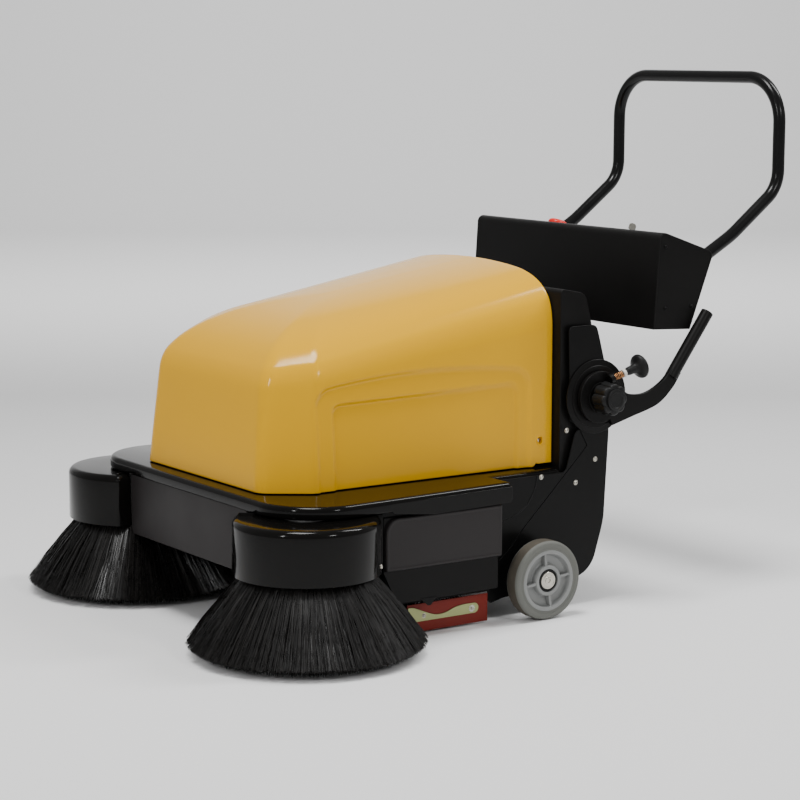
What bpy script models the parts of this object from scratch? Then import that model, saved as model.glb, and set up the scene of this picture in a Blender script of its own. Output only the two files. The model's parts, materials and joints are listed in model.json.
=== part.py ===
"""Walk behind sweeper: a battery floor sweeper that an operator pushes by a U handle.

Metres, +Z up. The machine faces -Y, and +X is its left side. The origin is on the floor, under
the middle of the footprint. Each function builds one piece or one pair of pieces.
"""
import math

import bmesh
import bpy
from mathutils import Matrix, Vector

# --- driving dimensions ---------------------------------------------------------------------
GAP = 0.0003                 # between pieces that touch
SHEET = 0.003                # steel sheet and moulded wall

AXLE_Y = 0.016               # rear wheels
WHEEL_RADIUS = 0.075
WHEEL_IN = 0.334             # inner and outer face of a rear wheel, from the middle
WHEEL_OUT = 0.369

SIDE_BRUSH = (0.319, -0.4855)
SIDE_BRUSH_RADIUS = 0.211
DISC_RADIUS = 0.112
DISC_BOTTOM = 0.128
DISC_TOP = 0.144

DECK_TOP = 0.270
DECK_BOTTOM = 0.247
DECK_FRONT = -0.554
DECK_HALF_FRONT = 0.385
DECK_HALF_REAR = 0.364
DECK_CORNER = 0.118
DECK_SHOULDER_Y = -0.064     # rear end of the wide part of the deck
DECK_REAR = 0.094

FRAME_TOP = DECK_BOTTOM - GAP
FRAME_BOTTOM = 0.130
FRAME_HALF = 0.349
FRAME_FRONT = -0.5455
FRAME_STEP_Y = -0.078
BAY_X = 0.203                # walls of the open corner over each side brush
BAY_Y = -0.372
REAR_HALF = 0.2935           # outer face of the narrow rear of the frame
CHEEK_IN = 0.2975
CHEEK_OUT = 0.3005

HOOD_HALF = 0.268
HOOD_FRONT = -0.518
HOOD_REAR = 0.097
HOOD_BOTTOM = 0.275
HOOD_DRAFT = 0.018
HOOD_HINGE = (-0.502, 0.305)         # y, z of the hinge pin

MAIN_BRUSH = (-0.200, 0.1175)        # y, z
MAIN_BRUSH_RADIUS = 0.115
MAIN_BRUSH_HALF = 0.295
MOTOR_SHAFT = (-0.335, 0.205)        # y, z
BRUSH_PULLEY_RADIUS = 0.045
MOTOR_PULLEY_RADIUS = 0.020
PULLEY_IN = 0.3285
PULLEY_OUT = 0.3405
END_PLATE_IN = 0.3125
END_PLATE_OUT = 0.3165

CASTOR_Y = -0.420
CASTOR_TRAIL = 0.030
CASTOR_RADIUS = 0.050

PIVOT = (0.178, 0.402)               # y, z of the handle's pivot
ARM_IN = 0.308
ARM_OUT = 0.318
STUB_X = 0.3115
TUBE_RADIUS = 0.0125
HANDLE_HALF = 0.2525
HANDLE_TOP = (0.684, 1.002)          # y, z of the cross bar
HANDLE_BEND = 0.090
CONSOLE_HALF = 0.2985
CONSOLE_FRONT = (0.335, 0.712)       # y, z of the upper edges of the console's sloping top
CONSOLE_REAR = (0.474, 0.664)
PANEL_ROW = 0.070                    # key and button, up the slope from the rear edge
KEY_X = 0.120
BUTTON_X = -0.120
PLUNGER_START = (0.3275, 0.1935, 0.4375)
PLUNGER_ANGLE = 15.0

ROUND = 16                   # sides of small turned pieces
FINE = 24                    # sides of wheels and brushes


# --- materials ------------------------------------------------------------------------------
def material(name, colour, roughness, metallic=0.0):
    made = bpy.data.materials.new(name)
    made.use_nodes = True
    shader = made.node_tree.nodes["Principled BSDF"]
    shader.inputs["Base Color"].default_value = (*colour, 1.0)
    shader.inputs["Roughness"].default_value = roughness
    shader.inputs["Metallic"].default_value = metallic
    made.diffuse_color = (*colour, 1.0)
    return made


FINISHES = {
    "yellow_plastic": ((0.90, 0.48, 0.01), 0.25, 0.0),
    "gloss_black": ((0.010, 0.010, 0.010), 0.12, 0.0),
    "satin_black": ((0.016, 0.015, 0.014), 0.45, 0.0),
    "steel_black": ((0.014, 0.014, 0.014), 0.40, 0.3),
    "panel_grey": ((0.045, 0.042, 0.042), 0.50, 0.0),
    "knob_black": ((0.018, 0.018, 0.018), 0.55, 0.0),
    "tube_black": ((0.012, 0.012, 0.012), 0.30, 0.3),
    "bristle_black": ((0.012, 0.012, 0.013), 0.60, 0.0),
    "tyre_grey": ((0.21, 0.21, 0.19), 0.60, 0.0),
    "rim_grey": ((0.30, 0.30, 0.29), 0.45, 0.0),
    "zinc_steel": ((0.42, 0.40, 0.34), 0.35, 0.9),
    "strip_zinc": ((0.38, 0.42, 0.22), 0.45, 0.5),
    "flap_red": ((0.16, 0.015, 0.008), 0.65, 0.0),
    "belt_rubber": ((0.015, 0.015, 0.015), 0.80, 0.0),
    "battery_case": ((0.05, 0.06, 0.08), 0.50, 0.0),
    "motor_grey": ((0.10, 0.10, 0.10), 0.40, 0.6),
    "filter_paper": ((0.55, 0.50, 0.38), 0.90, 0.0),
    "stop_red": ((0.60, 0.02, 0.01), 0.35, 0.0),
}


# --- outlines -------------------------------------------------------------------------------
def arc(centre, radius, start, end, steps):
    """Points on a circle from start to end, in degrees."""
    turns = [math.radians(start + (end - start) * i / steps) for i in range(steps + 1)]
    return [(centre[0] + radius * math.cos(t), centre[1] + radius * math.sin(t)) for t in turns]


def rounded(corners, steps=4):
    """A closed outline whose corners (a, b, radius) are filleted."""
    points = []
    count = len(corners)
    for index, (a, b, radius) in enumerate(corners):
        here = Vector((a, b))
        if radius == 0.0:
            points.append((a, b))
            continue
        back = (Vector(corners[index - 1][:2]) - here).normalized()
        ahead = (Vector(corners[(index + 1) % count][:2]) - here).normalized()
        half = back.angle(ahead) / 2
        reach = radius / math.tan(half)
        centre = here + (back + ahead).normalized() * (radius / math.sin(half))
        first = here + back * reach - centre
        last = here + ahead * reach - centre
        sweep = first.angle_signed(last)
        for step in range(steps + 1):
            turned_by = Matrix.Rotation(-sweep * step / steps, 2)
            points.append(tuple(centre + turned_by @ first))
    return points


def offset_path(path, distance):
    """An open path moved to its right-hand side by distance, with mitred corners."""
    moved = []
    for index, point in enumerate(path):
        here = Vector(point)
        before = here - Vector(path[max(index - 1, 0)])
        after = Vector(path[min(index + 1, len(path) - 1)]) - here
        before = before.normalized() if before.length > 0 else after.normalized()
        after = after.normalized() if after.length > 0 else before
        normal = Vector((before.y + after.y, -before.x - after.x)).normalized()
        scale = distance / normal.dot(Vector((before.y, -before.x)))
        moved.append(tuple(here + normal * scale))
    return moved


def mirrored(path):
    """A path on the left side, continued by its mirror image on the right side."""
    return path + [(-x, y) for x, y in reversed(path)]


# --- meshes ---------------------------------------------------------------------------------
def spread(axis, pair, along):
    """A point from its two outline coordinates and its place along an axis."""
    a, b = pair
    return {"X": (along, a, b), "Y": (a, along, b), "Z": (a, b, along)}[axis]


def closed(mesh):
    bmesh.ops.recalc_face_normals(mesh, faces=mesh.faces)
    return mesh


def prism(outline, axis, low, high):
    """An outline extruded along an axis."""
    mesh = bmesh.new()
    ends = [[mesh.verts.new(spread(axis, pair, at)) for pair in outline] for at in (low, high)]
    for index in range(len(outline)):
        after = (index + 1) % len(outline)
        mesh.faces.new((ends[0][index], ends[0][after], ends[1][after], ends[1][index]))
    caps = [mesh.faces.new(reversed(ends[0])), mesh.faces.new(ends[1])]
    bmesh.ops.triangulate(mesh, faces=caps)
    return closed(mesh)


def box(low, high):
    outline = [(low[0], low[1]), (high[0], low[1]), (high[0], high[1]), (low[0], high[1])]
    return prism(outline, "Z", low[2], high[2])


def rings_to_mesh(rings, loop):
    """Join rings of points, each of which is a full ring or a single point on the axis."""
    mesh = bmesh.new()
    made = [[mesh.verts.new(point) for point in ring] for ring in rings]
    pairs = list(zip(made, made[1:]))
    if loop:
        pairs.append((made[-1], made[0]))
    for one, two in pairs:
        count = max(len(one), len(two))
        if count == 1:
            continue
        for index in range(count):
            after = (index + 1) % count
            corners = [one[index % len(one)], one[after % len(one)],
                       two[after % len(two)], two[index % len(two)]]
            face = list(dict.fromkeys(corners))
            mesh.faces.new(face)
    return closed(mesh)


def turned(profile, axis, centre, sides=ROUND):
    """A profile of (radius, height) turned about an axis through centre.

    A profile that starts and ends on the axis makes a solid, any other one makes a ring.
    """
    rings = []
    for radius, height in profile:
        steps = sides if radius > 0 else 1
        ring = []
        for step in range(steps):
            turn = 2 * math.pi * step / steps
            pair = (centre[0] + radius * math.cos(turn), centre[1] + radius * math.sin(turn))
            ring.append(spread(axis, pair, height))
        rings.append(ring)
    loop = profile[0][0] > 0
    return rings_to_mesh(rings, loop)


def swept(path, radius, sides=12):
    """A round bar along a path of points."""
    points = [Vector(point) for point in path]
    rings = []
    side = None
    for index, point in enumerate(points):
        ahead = points[min(index + 1, len(points) - 1)] - points[max(index - 1, 0)]
        ahead.normalize()
        if side is None:
            side = ahead.orthogonal().normalized()
        side = (side - ahead * side.dot(ahead)).normalized()
        up = ahead.cross(side)
        turns = [2 * math.pi * step / sides for step in range(sides)]
        rings.append([point + side * radius * math.cos(t) + up * radius * math.sin(t)
                      for t in turns])
    return rings_to_mesh([[points[0]]] + rings + [[points[-1]]], False)


def wall(path, thickness, low, high):
    """A sheet standing on an open path, with its thickness on the path's right-hand side."""
    inner = offset_path(path, thickness)
    rings = [[(*a, low), (*a, high), (*b, high), (*b, low)] for a, b in zip(path, inner)]
    mesh = rings_to_mesh(rings, False)
    ends = [edge for edge in mesh.edges if edge.is_boundary]
    bmesh.ops.holes_fill(mesh, edges=ends, sides=0)
    return closed(mesh)


def moved(mesh, matrix):
    bmesh.ops.transform(mesh, matrix=matrix, verts=mesh.verts)
    return closed(mesh)


def flipped(mesh):
    """The same shape on the machine's right side."""
    return moved(mesh, Matrix.Scale(-1, 4, Vector((1, 0, 0))))


# --- objects --------------------------------------------------------------------------------
def add(name, mesh, finish, parent=None, sharp=35.0):
    """An object from a mesh in world coordinates, with its origin on its parent empty."""
    origin = parent.location.copy() if parent else Vector((0, 0, 0))
    bmesh.ops.translate(mesh, vec=-origin, verts=mesh.verts)
    data = bpy.data.meshes.new(name)
    mesh.to_mesh(data)
    mesh.free()
    data.shade_smooth()
    data.set_sharp_from_angle(angle=math.radians(sharp))
    made = bpy.data.objects.new(name, data)
    colour, roughness, metallic = FINISHES[finish]
    data.materials.append(material(name + "_material", colour, roughness, metallic))
    bpy.context.scene.collection.objects.link(made)
    made.parent = parent
    return made


def joint_empty(name, place, parent=None):
    """An empty on the axis of a joint."""
    empty = bpy.data.objects.new(name, None)
    empty.location = Vector(place) - (parent.location if parent else Vector((0, 0, 0)))
    empty.empty_display_size = 0.05
    empty.parent = parent
    bpy.context.scene.collection.objects.link(empty)
    return empty


def combine(target, mesh, operation):
    """A Boolean of a target with a shape in world coordinates, which stays as a hidden guide."""
    origin = target.parent.location if target.parent else Vector((0, 0, 0))
    bmesh.ops.translate(mesh, vec=-origin, verts=mesh.verts)
    name = f"guide_{target.name}_{len(target.modifiers)}"
    data = bpy.data.meshes.new(name)
    mesh.to_mesh(data)
    mesh.free()
    guide = bpy.data.objects.new(name, data)
    guide.hide_render = True
    guide.display_type = "WIRE"
    guide.parent = target.parent
    bpy.context.scene.collection.objects.link(guide)
    step = target.modifiers.new(name, "BOOLEAN")
    step.operation = operation
    step.solver = "EXACT"
    step.object = guide


def cut(target, mesh):
    combine(target, mesh, "DIFFERENCE")


def join(target, mesh):
    combine(target, mesh, "UNION")


def both_sides(name, build, finish, parents=(None, None)):
    """A left piece and its mirror image on the right."""
    left = add(name + "_left", build(), finish, parents[0])
    right = add(name + "_right", flipped(build()), finish, parents[1])
    return left, right


# --- deck, frame and covers -----------------------------------------------------------------
def deck():
    corner = (DECK_HALF_FRONT - DECK_CORNER, DECK_FRONT + DECK_CORNER)
    side = arc(corner, DECK_CORNER, 0, -90, 9)
    left = [(CHEEK_IN - GAP, DECK_REAR), (CHEEK_IN - GAP, DECK_SHOULDER_Y - 0.0006),
            (DECK_HALF_REAR, DECK_SHOULDER_Y)] + side
    plate = add("deck", prism(mirrored(left), "Z", DECK_BOTTOM, DECK_TOP), "gloss_black")
    for way in (1, -1):
        ends = [way * 0.3520, way * 0.3600]
        join(plate, box((min(ends), -0.340, 0.232), (max(ends), DECK_SHOULDER_Y - 0.010, 0.260)))
    # the duct between the dustbin's filter and the fan
    cut(plate, box((-0.20, -0.03, 0.20), (0.20, 0.06, 0.30)))


def chassis_frame():
    half = [(REAR_HALF, 0.175), (REAR_HALF, FRAME_STEP_Y), (FRAME_HALF, FRAME_STEP_Y),
            (FRAME_HALF, BAY_Y), (BAY_X, BAY_Y), (BAY_X, FRAME_FRONT)]
    frame = add("chassis_frame", wall(mirrored(half), SHEET, FRAME_BOTTOM, FRAME_TOP),
                "steel_black")
    for way in (1, -1):
        centre = (way * SIDE_BRUSH[0], SIDE_BRUSH[1])
        clear = [(0, 0.10), (0.150, 0.10), (0.150, 0.150), (0, 0.150)]
        cut(frame, turned(clear, "Z", centre, FINE))


def front_panel():
    plate = box((-0.2195, -0.5495, 0.130), (0.2195, FRAME_FRONT - GAP, FRAME_TOP))
    add("front_panel", plate, "panel_grey")


def cover_outline():
    """The visible edge of a brush cover, from its inner end round to the side of the machine."""
    radius = 0.1325
    x, y = SIDE_BRUSH
    inner_x = 0.220
    start = math.degrees(math.acos((inner_x + 0.012 - x) / radius))
    end = math.degrees(math.acos((FRAME_HALF + GAP - x) / radius))
    front = arc((x, y), radius, -start, end, 18)
    corner = [(inner_x, FRAME_FRONT - 0.0043), (inner_x, front[0][1] + 0.014),
              (inner_x + 0.004, front[0][1] + 0.004)]
    return corner + front


def brush_covers():
    """A moulded cap over each side brush, open below, with a hole round the motor's flange."""
    path = cover_outline()
    inside = offset_path(path, -SHEET)
    low, high = 0.1456, 0.2445
    behind = BAY_Y - 0.0035
    back_x = path[0][0] + 0.0035

    def shell():
        hidden = [(FRAME_HALF + GAP, behind), (back_x, behind), (back_x, path[0][1])]
        return prism(path + hidden, "Z", low, high)

    def hollow():
        deep = BAY_Y + 0.03
        back = [(inside[-1][0], deep), (BAY_X, deep), (BAY_X, FRAME_FRONT + 0.02),
                (inside[0][0], FRAME_FRONT + 0.02)]
        return prism(inside + back, "Z", low - 0.02, high - SHEET)

    def flange_hole():
        profile = [(0, high - 0.02), (0.0480, high - 0.02), (0.0480, high + 0.02), (0, high + 0.02)]
        return turned(profile, "Z", SIDE_BRUSH)

    left, right = both_sides("brush_cover", shell, "gloss_black")
    for piece, side in ((left, lambda mesh: mesh), (right, flipped)):
        cut(piece, side(hollow()))
        cut(piece, side(flange_hole()))


def skirts():
    """The moulded side panel: a lower plate with a raised pad above it."""
    def plate():
        # its front edge slants back over the side brush
        outline = [(-0.316, 0.072), (-0.090, 0.072), (-0.090, 0.2315), (-0.345, 0.2315),
                   (-0.345, 0.130)]
        return prism(outline, "X", FRAME_HALF + GAP, 0.3530)

    def pad():
        outline = rounded([(-0.345, 0.1325, 0.0), (-0.0845, 0.1325, 0.004),
                           (-0.0845, 0.2315, 0.006), (-0.345, 0.2315, 0.030)])
        return prism(outline, "X", 0.3520, 0.3605)

    left, right = both_sides("side_skirt", plate, "satin_black")
    join(left, pad())
    join(right, flipped(pad()))


def side_panels():
    def panel():
        outline = rounded([(-0.0745, 0.102, 0.0), (-0.050, 0.109, 0.0), (-0.020, 0.134, 0.0),
                           (0.007, 0.164, 0.0), (0.147, 0.297, 0.0), (0.158, 0.309, 0.0),
                           (0.139, 0.343, 0.0), (0.129, 0.334, 0.0), (0.108, 0.262, 0.012),
                           (-0.0637, 0.262, 0.004), (-0.0637, 0.2464, 0.0),
                           (-0.0745, 0.2464, 0.0)])
        return prism(outline, "X", CHEEK_IN, CHEEK_OUT)

    both_sides("side_panel", panel, "steel_black")


def cheek_plates():
    def cheek():
        outline = rounded([(0.112, 0.540, 0.010), (0.179, 0.540, 0.014), (0.186, 0.518, 0.030),
                           (0.210, 0.430, 0.080), (0.212, 0.330, 0.0), (0.202, 0.160, 0.080),
                           (0.190, 0.070, 0.060), (0.100, 0.046, 0.0), (-0.040, 0.036, 0.010),
                           (-0.0745, 0.028, 0.008), (-0.0745, 0.1010, 0.0), (-0.0495, 0.1082, 0.0),
                           (-0.0193, 0.1332, 0.0), (0.0077, 0.1632, 0.0), (0.1477, 0.2962, 0.0),
                           (0.1592, 0.3090, 0.0), (0.1393, 0.3445, 0.0), (0.118, 0.360, 0.0)])
        return prism(outline, "X", CHEEK_IN, CHEEK_OUT)

    left, right = both_sides("cheek_plate", cheek, "steel_black")
    for way, plate in ((1, left), (-1, right)):
        bore = turned([(0, way * 0.29), (0.0101, way * 0.29), (0.0101, way * 0.31),
                       (0, way * 0.31)], "X", (AXLE_Y, WHEEL_RADIUS))
        cut(plate, bore)


def rear_housing():
    """The body between the cheek plates: it carries the filter and closes the hood's rear."""
    half = 0.2900
    front = HOOD_REAR + 0.0035
    outer = rounded([(front, 0.2495, 0.0), (front, 0.612, 0.008), (0.160, 0.600, 0.020),
                     (0.180, 0.522, 0.030), (0.205, 0.430, 0.080), (0.207, 0.330, 0.0),
                     (0.204, 0.2495, 0.0)])
    inner = [(front + SHEET, 0.20), (front + SHEET, 0.606), (0.156, 0.595), (0.176, 0.520),
             (0.2005, 0.430), (0.2035, 0.330), (0.201, 0.20)]
    housing = add("rear_housing", prism(outer, "X", -half, half), "satin_black")
    cut(housing, prism(inner, "X", -half + SHEET, half - SHEET))


def hood():
    """A moulded shell: rings that follow the plan and draw in towards the roof."""
    levels = [(0.000, HOOD_BOTTOM, HOOD_BOTTOM), (0.012, 0.400, 0.440), (0.0195, 0.465, 0.560),
              (0.030, 0.488, 0.596), (0.048, 0.505, 0.616), (0.080, 0.528, 0.633),
              (0.125, 0.544, 0.645), (0.190, 0.556, 0.652)]
    front_half = 0.210
    chamfer_y = 0.083

    def ring(inset, front_z, rear_z):
        half = HOOD_HALF - inset
        front = HOOD_FRONT + inset
        cut_x = (HOOD_HALF - front_half) * max(0.2, 1 - inset / 0.25)
        cut_y = chamfer_y * max(0.2, 1 - inset / 0.25)
        rear_span = HOOD_REAR - (front + cut_y)
        side = [(half, HOOD_REAR - rear_span * i / 4) for i in range(5)]
        slope = [(half - cut_x * t, front + cut_y * (1 - t)) for t in (0.12, 0.88)]
        left = side[:-1] + [(half, front + cut_y * 1.1)] + slope + [
            (half - cut_x - 0.006, front), ((half - cut_x) / 2, front)]
        plan = mirrored(left)
        # the walls lean in at the front and stand upright at the rear
        upright = min(inset, HOOD_DRAFT)
        points = []
        for x, y in plan:
            share = (y - HOOD_FRONT) / (HOOD_REAR - HOOD_FRONT)
            points.append((x + math.copysign(upright * share, x), y,
                           front_z + (rear_z - front_z) * share))
        return points

    mesh = bmesh.new()
    rows = [[mesh.verts.new(point) for point in ring(*level)] for level in levels]
    for one, two in zip(rows, rows[1:]):
        for index in range(len(one) - 1):
            mesh.faces.new((one[index], one[index + 1], two[index + 1], two[index]))
    last = rows[-1]
    count = len(last)
    for index in range(count // 2 - 1):
        mesh.faces.new((last[index], last[index + 1], last[count - 2 - index],
                        last[count - 1 - index]))
    closed(mesh)
    shell = add("hood", mesh, "yellow_plastic", HOOD_AXIS)
    step = shell.modifiers.new("wall", "SOLIDIFY")
    step.thickness = SHEET
    step.offset = -1
    step.use_even_offset = True


def hood_hinge():
    """A wide hinge behind the hood's front wall: its base and pin stay, its leaf lifts."""
    y, z = HOOD_HINGE
    foot = box((-0.062, y + 0.030, DECK_TOP + GAP), (0.062, y + 0.066, 0.273))
    base = add("hood_hinge_base", foot, "zinc_steel")
    # cranked brackets leave room for the foot of the hood's wall as it swings under the pin
    crank = [(y + 0.032, 0.272), (y + 0.039, 0.272), (y + 0.039, z + 0.006),
             (y - 0.004, z + 0.006), (y - 0.004, z - 0.004), (y + 0.032, z - 0.004)]
    for low, high in ((-0.060, -0.030), (0.030, 0.060)):
        join(base, prism(crank, "X", low, high))
    pin = [(0, -0.058), (0.0025, -0.058), (0.0025, 0.058), (0, 0.058)]
    join(base, turned(pin, "X", (y, z), 12))
    blade = [(y - 0.0102, z - 0.0070), (y - 0.0057, z + 0.0400), (y - 0.0037, z + 0.0400),
             (y - 0.0080, z - 0.0070)]
    leaf = add("hood_hinge_leaf", prism(blade, "X", -0.0285, 0.0285), "zinc_steel", HOOD_AXIS)
    join(leaf, box((-0.0280, y - 0.0085, z - 0.0024), (0.0280, y - 0.0042, z + 0.0024)))
    barrel = [(0.0031, -0.0290), (0.0055, -0.0290), (0.0055, 0.0290), (0.0031, 0.0290)]
    join(leaf, turned(barrel, "X", (y, z)))


# --- wheels ---------------------------------------------------------------------------------
def wheels():
    middle = (AXLE_Y, WHEEL_RADIUS)
    low, high = WHEEL_IN, WHEEL_OUT

    def tyre():
        crown = [(0.0578, low), (0.0700, low), (0.0735, low + 0.002), (WHEEL_RADIUS, low + 0.007),
                 (WHEEL_RADIUS, high - 0.007), (0.0735, high - 0.002), (0.0700, high),
                 (0.0578, high)]
        return turned(crown, "X", middle, FINE)

    def rim():
        web = [(0.0102, low - 0.003), (0.0285, low - 0.003), (0.0285, low + 0.012),
               (0.0500, low + 0.012), (0.0500, low), (0.0575, low), (0.0575, high),
               (0.0500, high), (0.0500, high - 0.010), (0.0285, high - 0.010), (0.0285, high),
               (0.0215, high), (0.0215, high - 0.004), (0.0102, high - 0.004)]
        return turned(web, "X", middle, FINE)

    def rib(turn):
        bar = box((high - 0.012, 0.026, -0.0025), (high - 0.002, 0.052, 0.0025))
        place = Matrix.Translation((0, *middle)) @ Matrix.Rotation(math.radians(turn), 4, "X")
        return moved(bar, place)

    def bolt():
        face = high - 0.004
        return turned([(0, 0.292), (0.0098, 0.292), (0.0098, face + GAP), (0.0190, face + GAP),
                       (0.0190, high - 0.0005), (0.0080, high + 0.001), (0, high + 0.001)],
                      "X", middle)

    both_sides("tyre", tyre, "tyre_grey", WHEEL_AXES)
    rims = both_sides("wheel_rim", rim, "rim_grey", WHEEL_AXES)
    for turn in (0, 90, 180, 270):
        join(rims[0], rib(turn))
        join(rims[1], flipped(rib(turn)))
    both_sides("axle_bolt", bolt, "zinc_steel")


def castor():
    y = CASTOR_Y
    add("castor_beam", box((-0.1995, y - 0.035, 0.150), (0.1995, y + 0.040, 0.172)), "steel_black")
    plate = box((-0.040, y - 0.032, 0.1447), (0.040, y + 0.037, 0.1497))
    add("castor_plate", plate, "zinc_steel")
    side = rounded([(y - 0.022, 0.1360, 0.004), (y - 0.022, 0.1100, 0.010),
                    (y + CASTOR_TRAIL - 0.014, 0.038, 0.010),
                    (y + CASTOR_TRAIL + 0.014, 0.038, 0.010),
                    (y + 0.026, 0.1360, 0.004)])
    fork = add("castor_fork", prism(side, "X", -0.0205, 0.0205), "zinc_steel", CASTOR_AXIS)
    cut(fork, box((-0.0165, y - 0.05, 0.02), (0.0165, y + 0.08, 0.132)))
    wheel = (y + CASTOR_TRAIL, CASTOR_RADIUS)
    join(fork, turned([(0, -0.018), (0.006, -0.018), (0.006, 0.018), (0, 0.018)], "X", wheel, 12))
    join(fork, turned([(0, 0.134), (0.018, 0.134), (0.018, 0.1444), (0, 0.1444)], "Z", (0, y)))
    tread = [(0.0065, -0.0155), (0.020, -0.0155), (0.020, -0.010), (0.034, -0.010),
             (0.034, -0.0140), (0.047, -0.0140), (CASTOR_RADIUS, -0.010), (CASTOR_RADIUS, 0.010),
             (0.047, 0.0140), (0.034, 0.0140), (0.034, 0.010), (0.020, 0.010), (0.020, 0.0155),
             (0.0065, 0.0155)]
    add("castor_wheel", turned(tread, "X", wheel, FINE), "tyre_grey", CASTOR_WHEEL_AXIS)


# --- sweeping gear --------------------------------------------------------------------------
def side_brushes():
    def disc():
        profile = [(0.0085, 0.122), (0.030, 0.122), (0.030, DISC_BOTTOM),
                   (DISC_RADIUS, DISC_BOTTOM), (DISC_RADIUS, 0.138), (0.100, DISC_TOP),
                   (0.0085, DISC_TOP)]
        return turned(profile, "Z", SIDE_BRUSH, FINE)

    def bristles():
        profile = [(0.060, DISC_BOTTOM - GAP), (DISC_RADIUS, DISC_BOTTOM - GAP),
                   (SIDE_BRUSH_RADIUS, 0.020), (0.198, 0.003), (0.150, 0.003)]
        return turned(profile, "Z", SIDE_BRUSH, FINE)

    def motor():
        profile = [(0, 0.124), (0.008, 0.124), (0.008, 0.150), (0.033, 0.150), (0.035, 0.153),
                   (0.035, 0.2406), (0.045, 0.2406), (0.045, FRAME_TOP), (0, FRAME_TOP)]
        return turned(profile, "Z", SIDE_BRUSH)

    both_sides("side_brush_disc", disc, "satin_black", BRUSH_AXES)
    both_sides("side_brush_bristles", bristles, "bristle_black", BRUSH_AXES)
    both_sides("side_brush_motor", motor, "motor_grey")


def main_brush():
    half = MAIN_BRUSH_HALF
    core = [(0, -0.3160), (0.010, -0.3160), (0.010, -half - 0.005), (0.045, -half - 0.005),
            (0.045, half + 0.005), (0.010, half + 0.005), (0.010, 0.3440), (0, 0.3440)]
    add("main_brush_core", turned(core, "X", MAIN_BRUSH, FINE), "satin_black", MAIN_BRUSH_AXIS)
    tufts = [(0.0453, -half), (MAIN_BRUSH_RADIUS, -half), (MAIN_BRUSH_RADIUS, half), (0.0453, half)]
    add("main_brush_bristles", turned(tufts, "X", MAIN_BRUSH, FINE), "bristle_black",
        MAIN_BRUSH_AXIS)
    wheel = [(0.0103, PULLEY_IN), (BRUSH_PULLEY_RADIUS, PULLEY_IN),
             (BRUSH_PULLEY_RADIUS, PULLEY_OUT), (0.0103, PULLEY_OUT)]
    add("brush_pulley", turned(wheel, "X", MAIN_BRUSH, FINE), "motor_grey", MAIN_BRUSH_AXIS)

    outline = rounded([(-0.3675, 0.165, 0.010), (-0.300, 0.058, 0.010), (-0.0815, 0.058, 0.006),
                       (-0.0815, FRAME_TOP, 0.0), (-0.3675, FRAME_TOP, 0.0)])
    plates = both_sides("brush_end_plate",
                        lambda: prism(outline, "X", END_PLATE_IN, END_PLATE_OUT), "steel_black")
    for way, plate in ((1, plates[0]), (-1, plates[1])):
        ends = (way * 0.30, way * 0.33)
        holes = [(MAIN_BRUSH, 0.0105)]
        if way == 1:
            holes.append((MOTOR_SHAFT, 0.0125))
        for centre, radius in holes:
            cut(plate, turned([(0, ends[0]), (radius, ends[0]), (radius, ends[1]), (0, ends[1])],
                              "X", centre))


def brush_drive():
    """The motor, its pulley and the open belt to the main brush."""
    body = [(0, 0.160), (0.026, 0.160), (0.030, 0.166), (0.030, 0.3118), (0, 0.3118)]
    add("brush_motor", turned(body, "X", MOTOR_SHAFT), "motor_grey")
    pulley = [(0, 0.3122), (0.006, 0.3122), (0.006, PULLEY_IN), (MOTOR_PULLEY_RADIUS, PULLEY_IN),
              (MOTOR_PULLEY_RADIUS, PULLEY_OUT), (0, PULLEY_OUT)]
    add("motor_pulley", turned(pulley, "X", MOTOR_SHAFT), "motor_grey", MOTOR_AXIS)

    def loop(extra):
        """The outline around both pulleys, at a distance from their rims."""
        big, small = Vector(MAIN_BRUSH), Vector(MOTOR_SHAFT)
        span = small - big
        heading = math.degrees(math.atan2(span.y, span.x))
        radii = (BRUSH_PULLEY_RADIUS + extra, MOTOR_PULLEY_RADIUS + extra)
        lean = math.degrees(math.acos((radii[0] - radii[1]) / span.length))
        wide = arc(MAIN_BRUSH, radii[0], heading + lean, heading + 360 - lean, 16)
        tight = arc(MOTOR_SHAFT, radii[1], heading - lean, heading + lean, 8)
        return wide + tight

    belt = add("drive_belt", prism(loop(0.0045), "X", 0.3310, 0.3380), "belt_rubber")
    cut(belt, prism(loop(0.0006), "X", 0.3250, 0.3450))


def flaps():
    def rubber():
        return box((0.3170, -0.272, 0.0035), (0.3205, -0.0900, 0.0560))

    def strip():
        outline = [(-0.271, 0.023)] + arc((-0.122, 0.0325), 0.0095, -90, 90, 6)
        outline += [(-0.150, 0.042), (-0.176, 0.035), (-0.202, 0.031), (-0.228, 0.036),
                    (-0.250, 0.047), (-0.271, 0.051)]
        return prism(outline, "X", 0.3208, 0.3228)

    both_sides("side_flap", rubber, "flap_red")
    both_sides("flap_strip", strip, "strip_zinc")


def dustbin():
    """A bin open above and towards the brush, pulled out at the back by a moulded grip."""
    outer = rounded([(-0.050, 0.048, 0.006), (0.110, 0.058, 0.020), (0.176, 0.110, 0.020),
                     (0.190, 0.246, 0.0), (-0.050, 0.246, 0.0)])
    inner = [(-0.10, 0.0515), (0.108, 0.0615), (0.1725, 0.113), (0.1868, 0.30), (-0.10, 0.30)]
    half = 0.2900
    bin_body = add("dustbin", prism(outer, "X", -half, half), "satin_black", BIN_AXIS)
    join(bin_body, box((-0.090, 0.180, 0.196), (0.090, 0.202, 0.204)))
    cut(bin_body, prism(inner, "X", -half + SHEET, half - SHEET))


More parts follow.
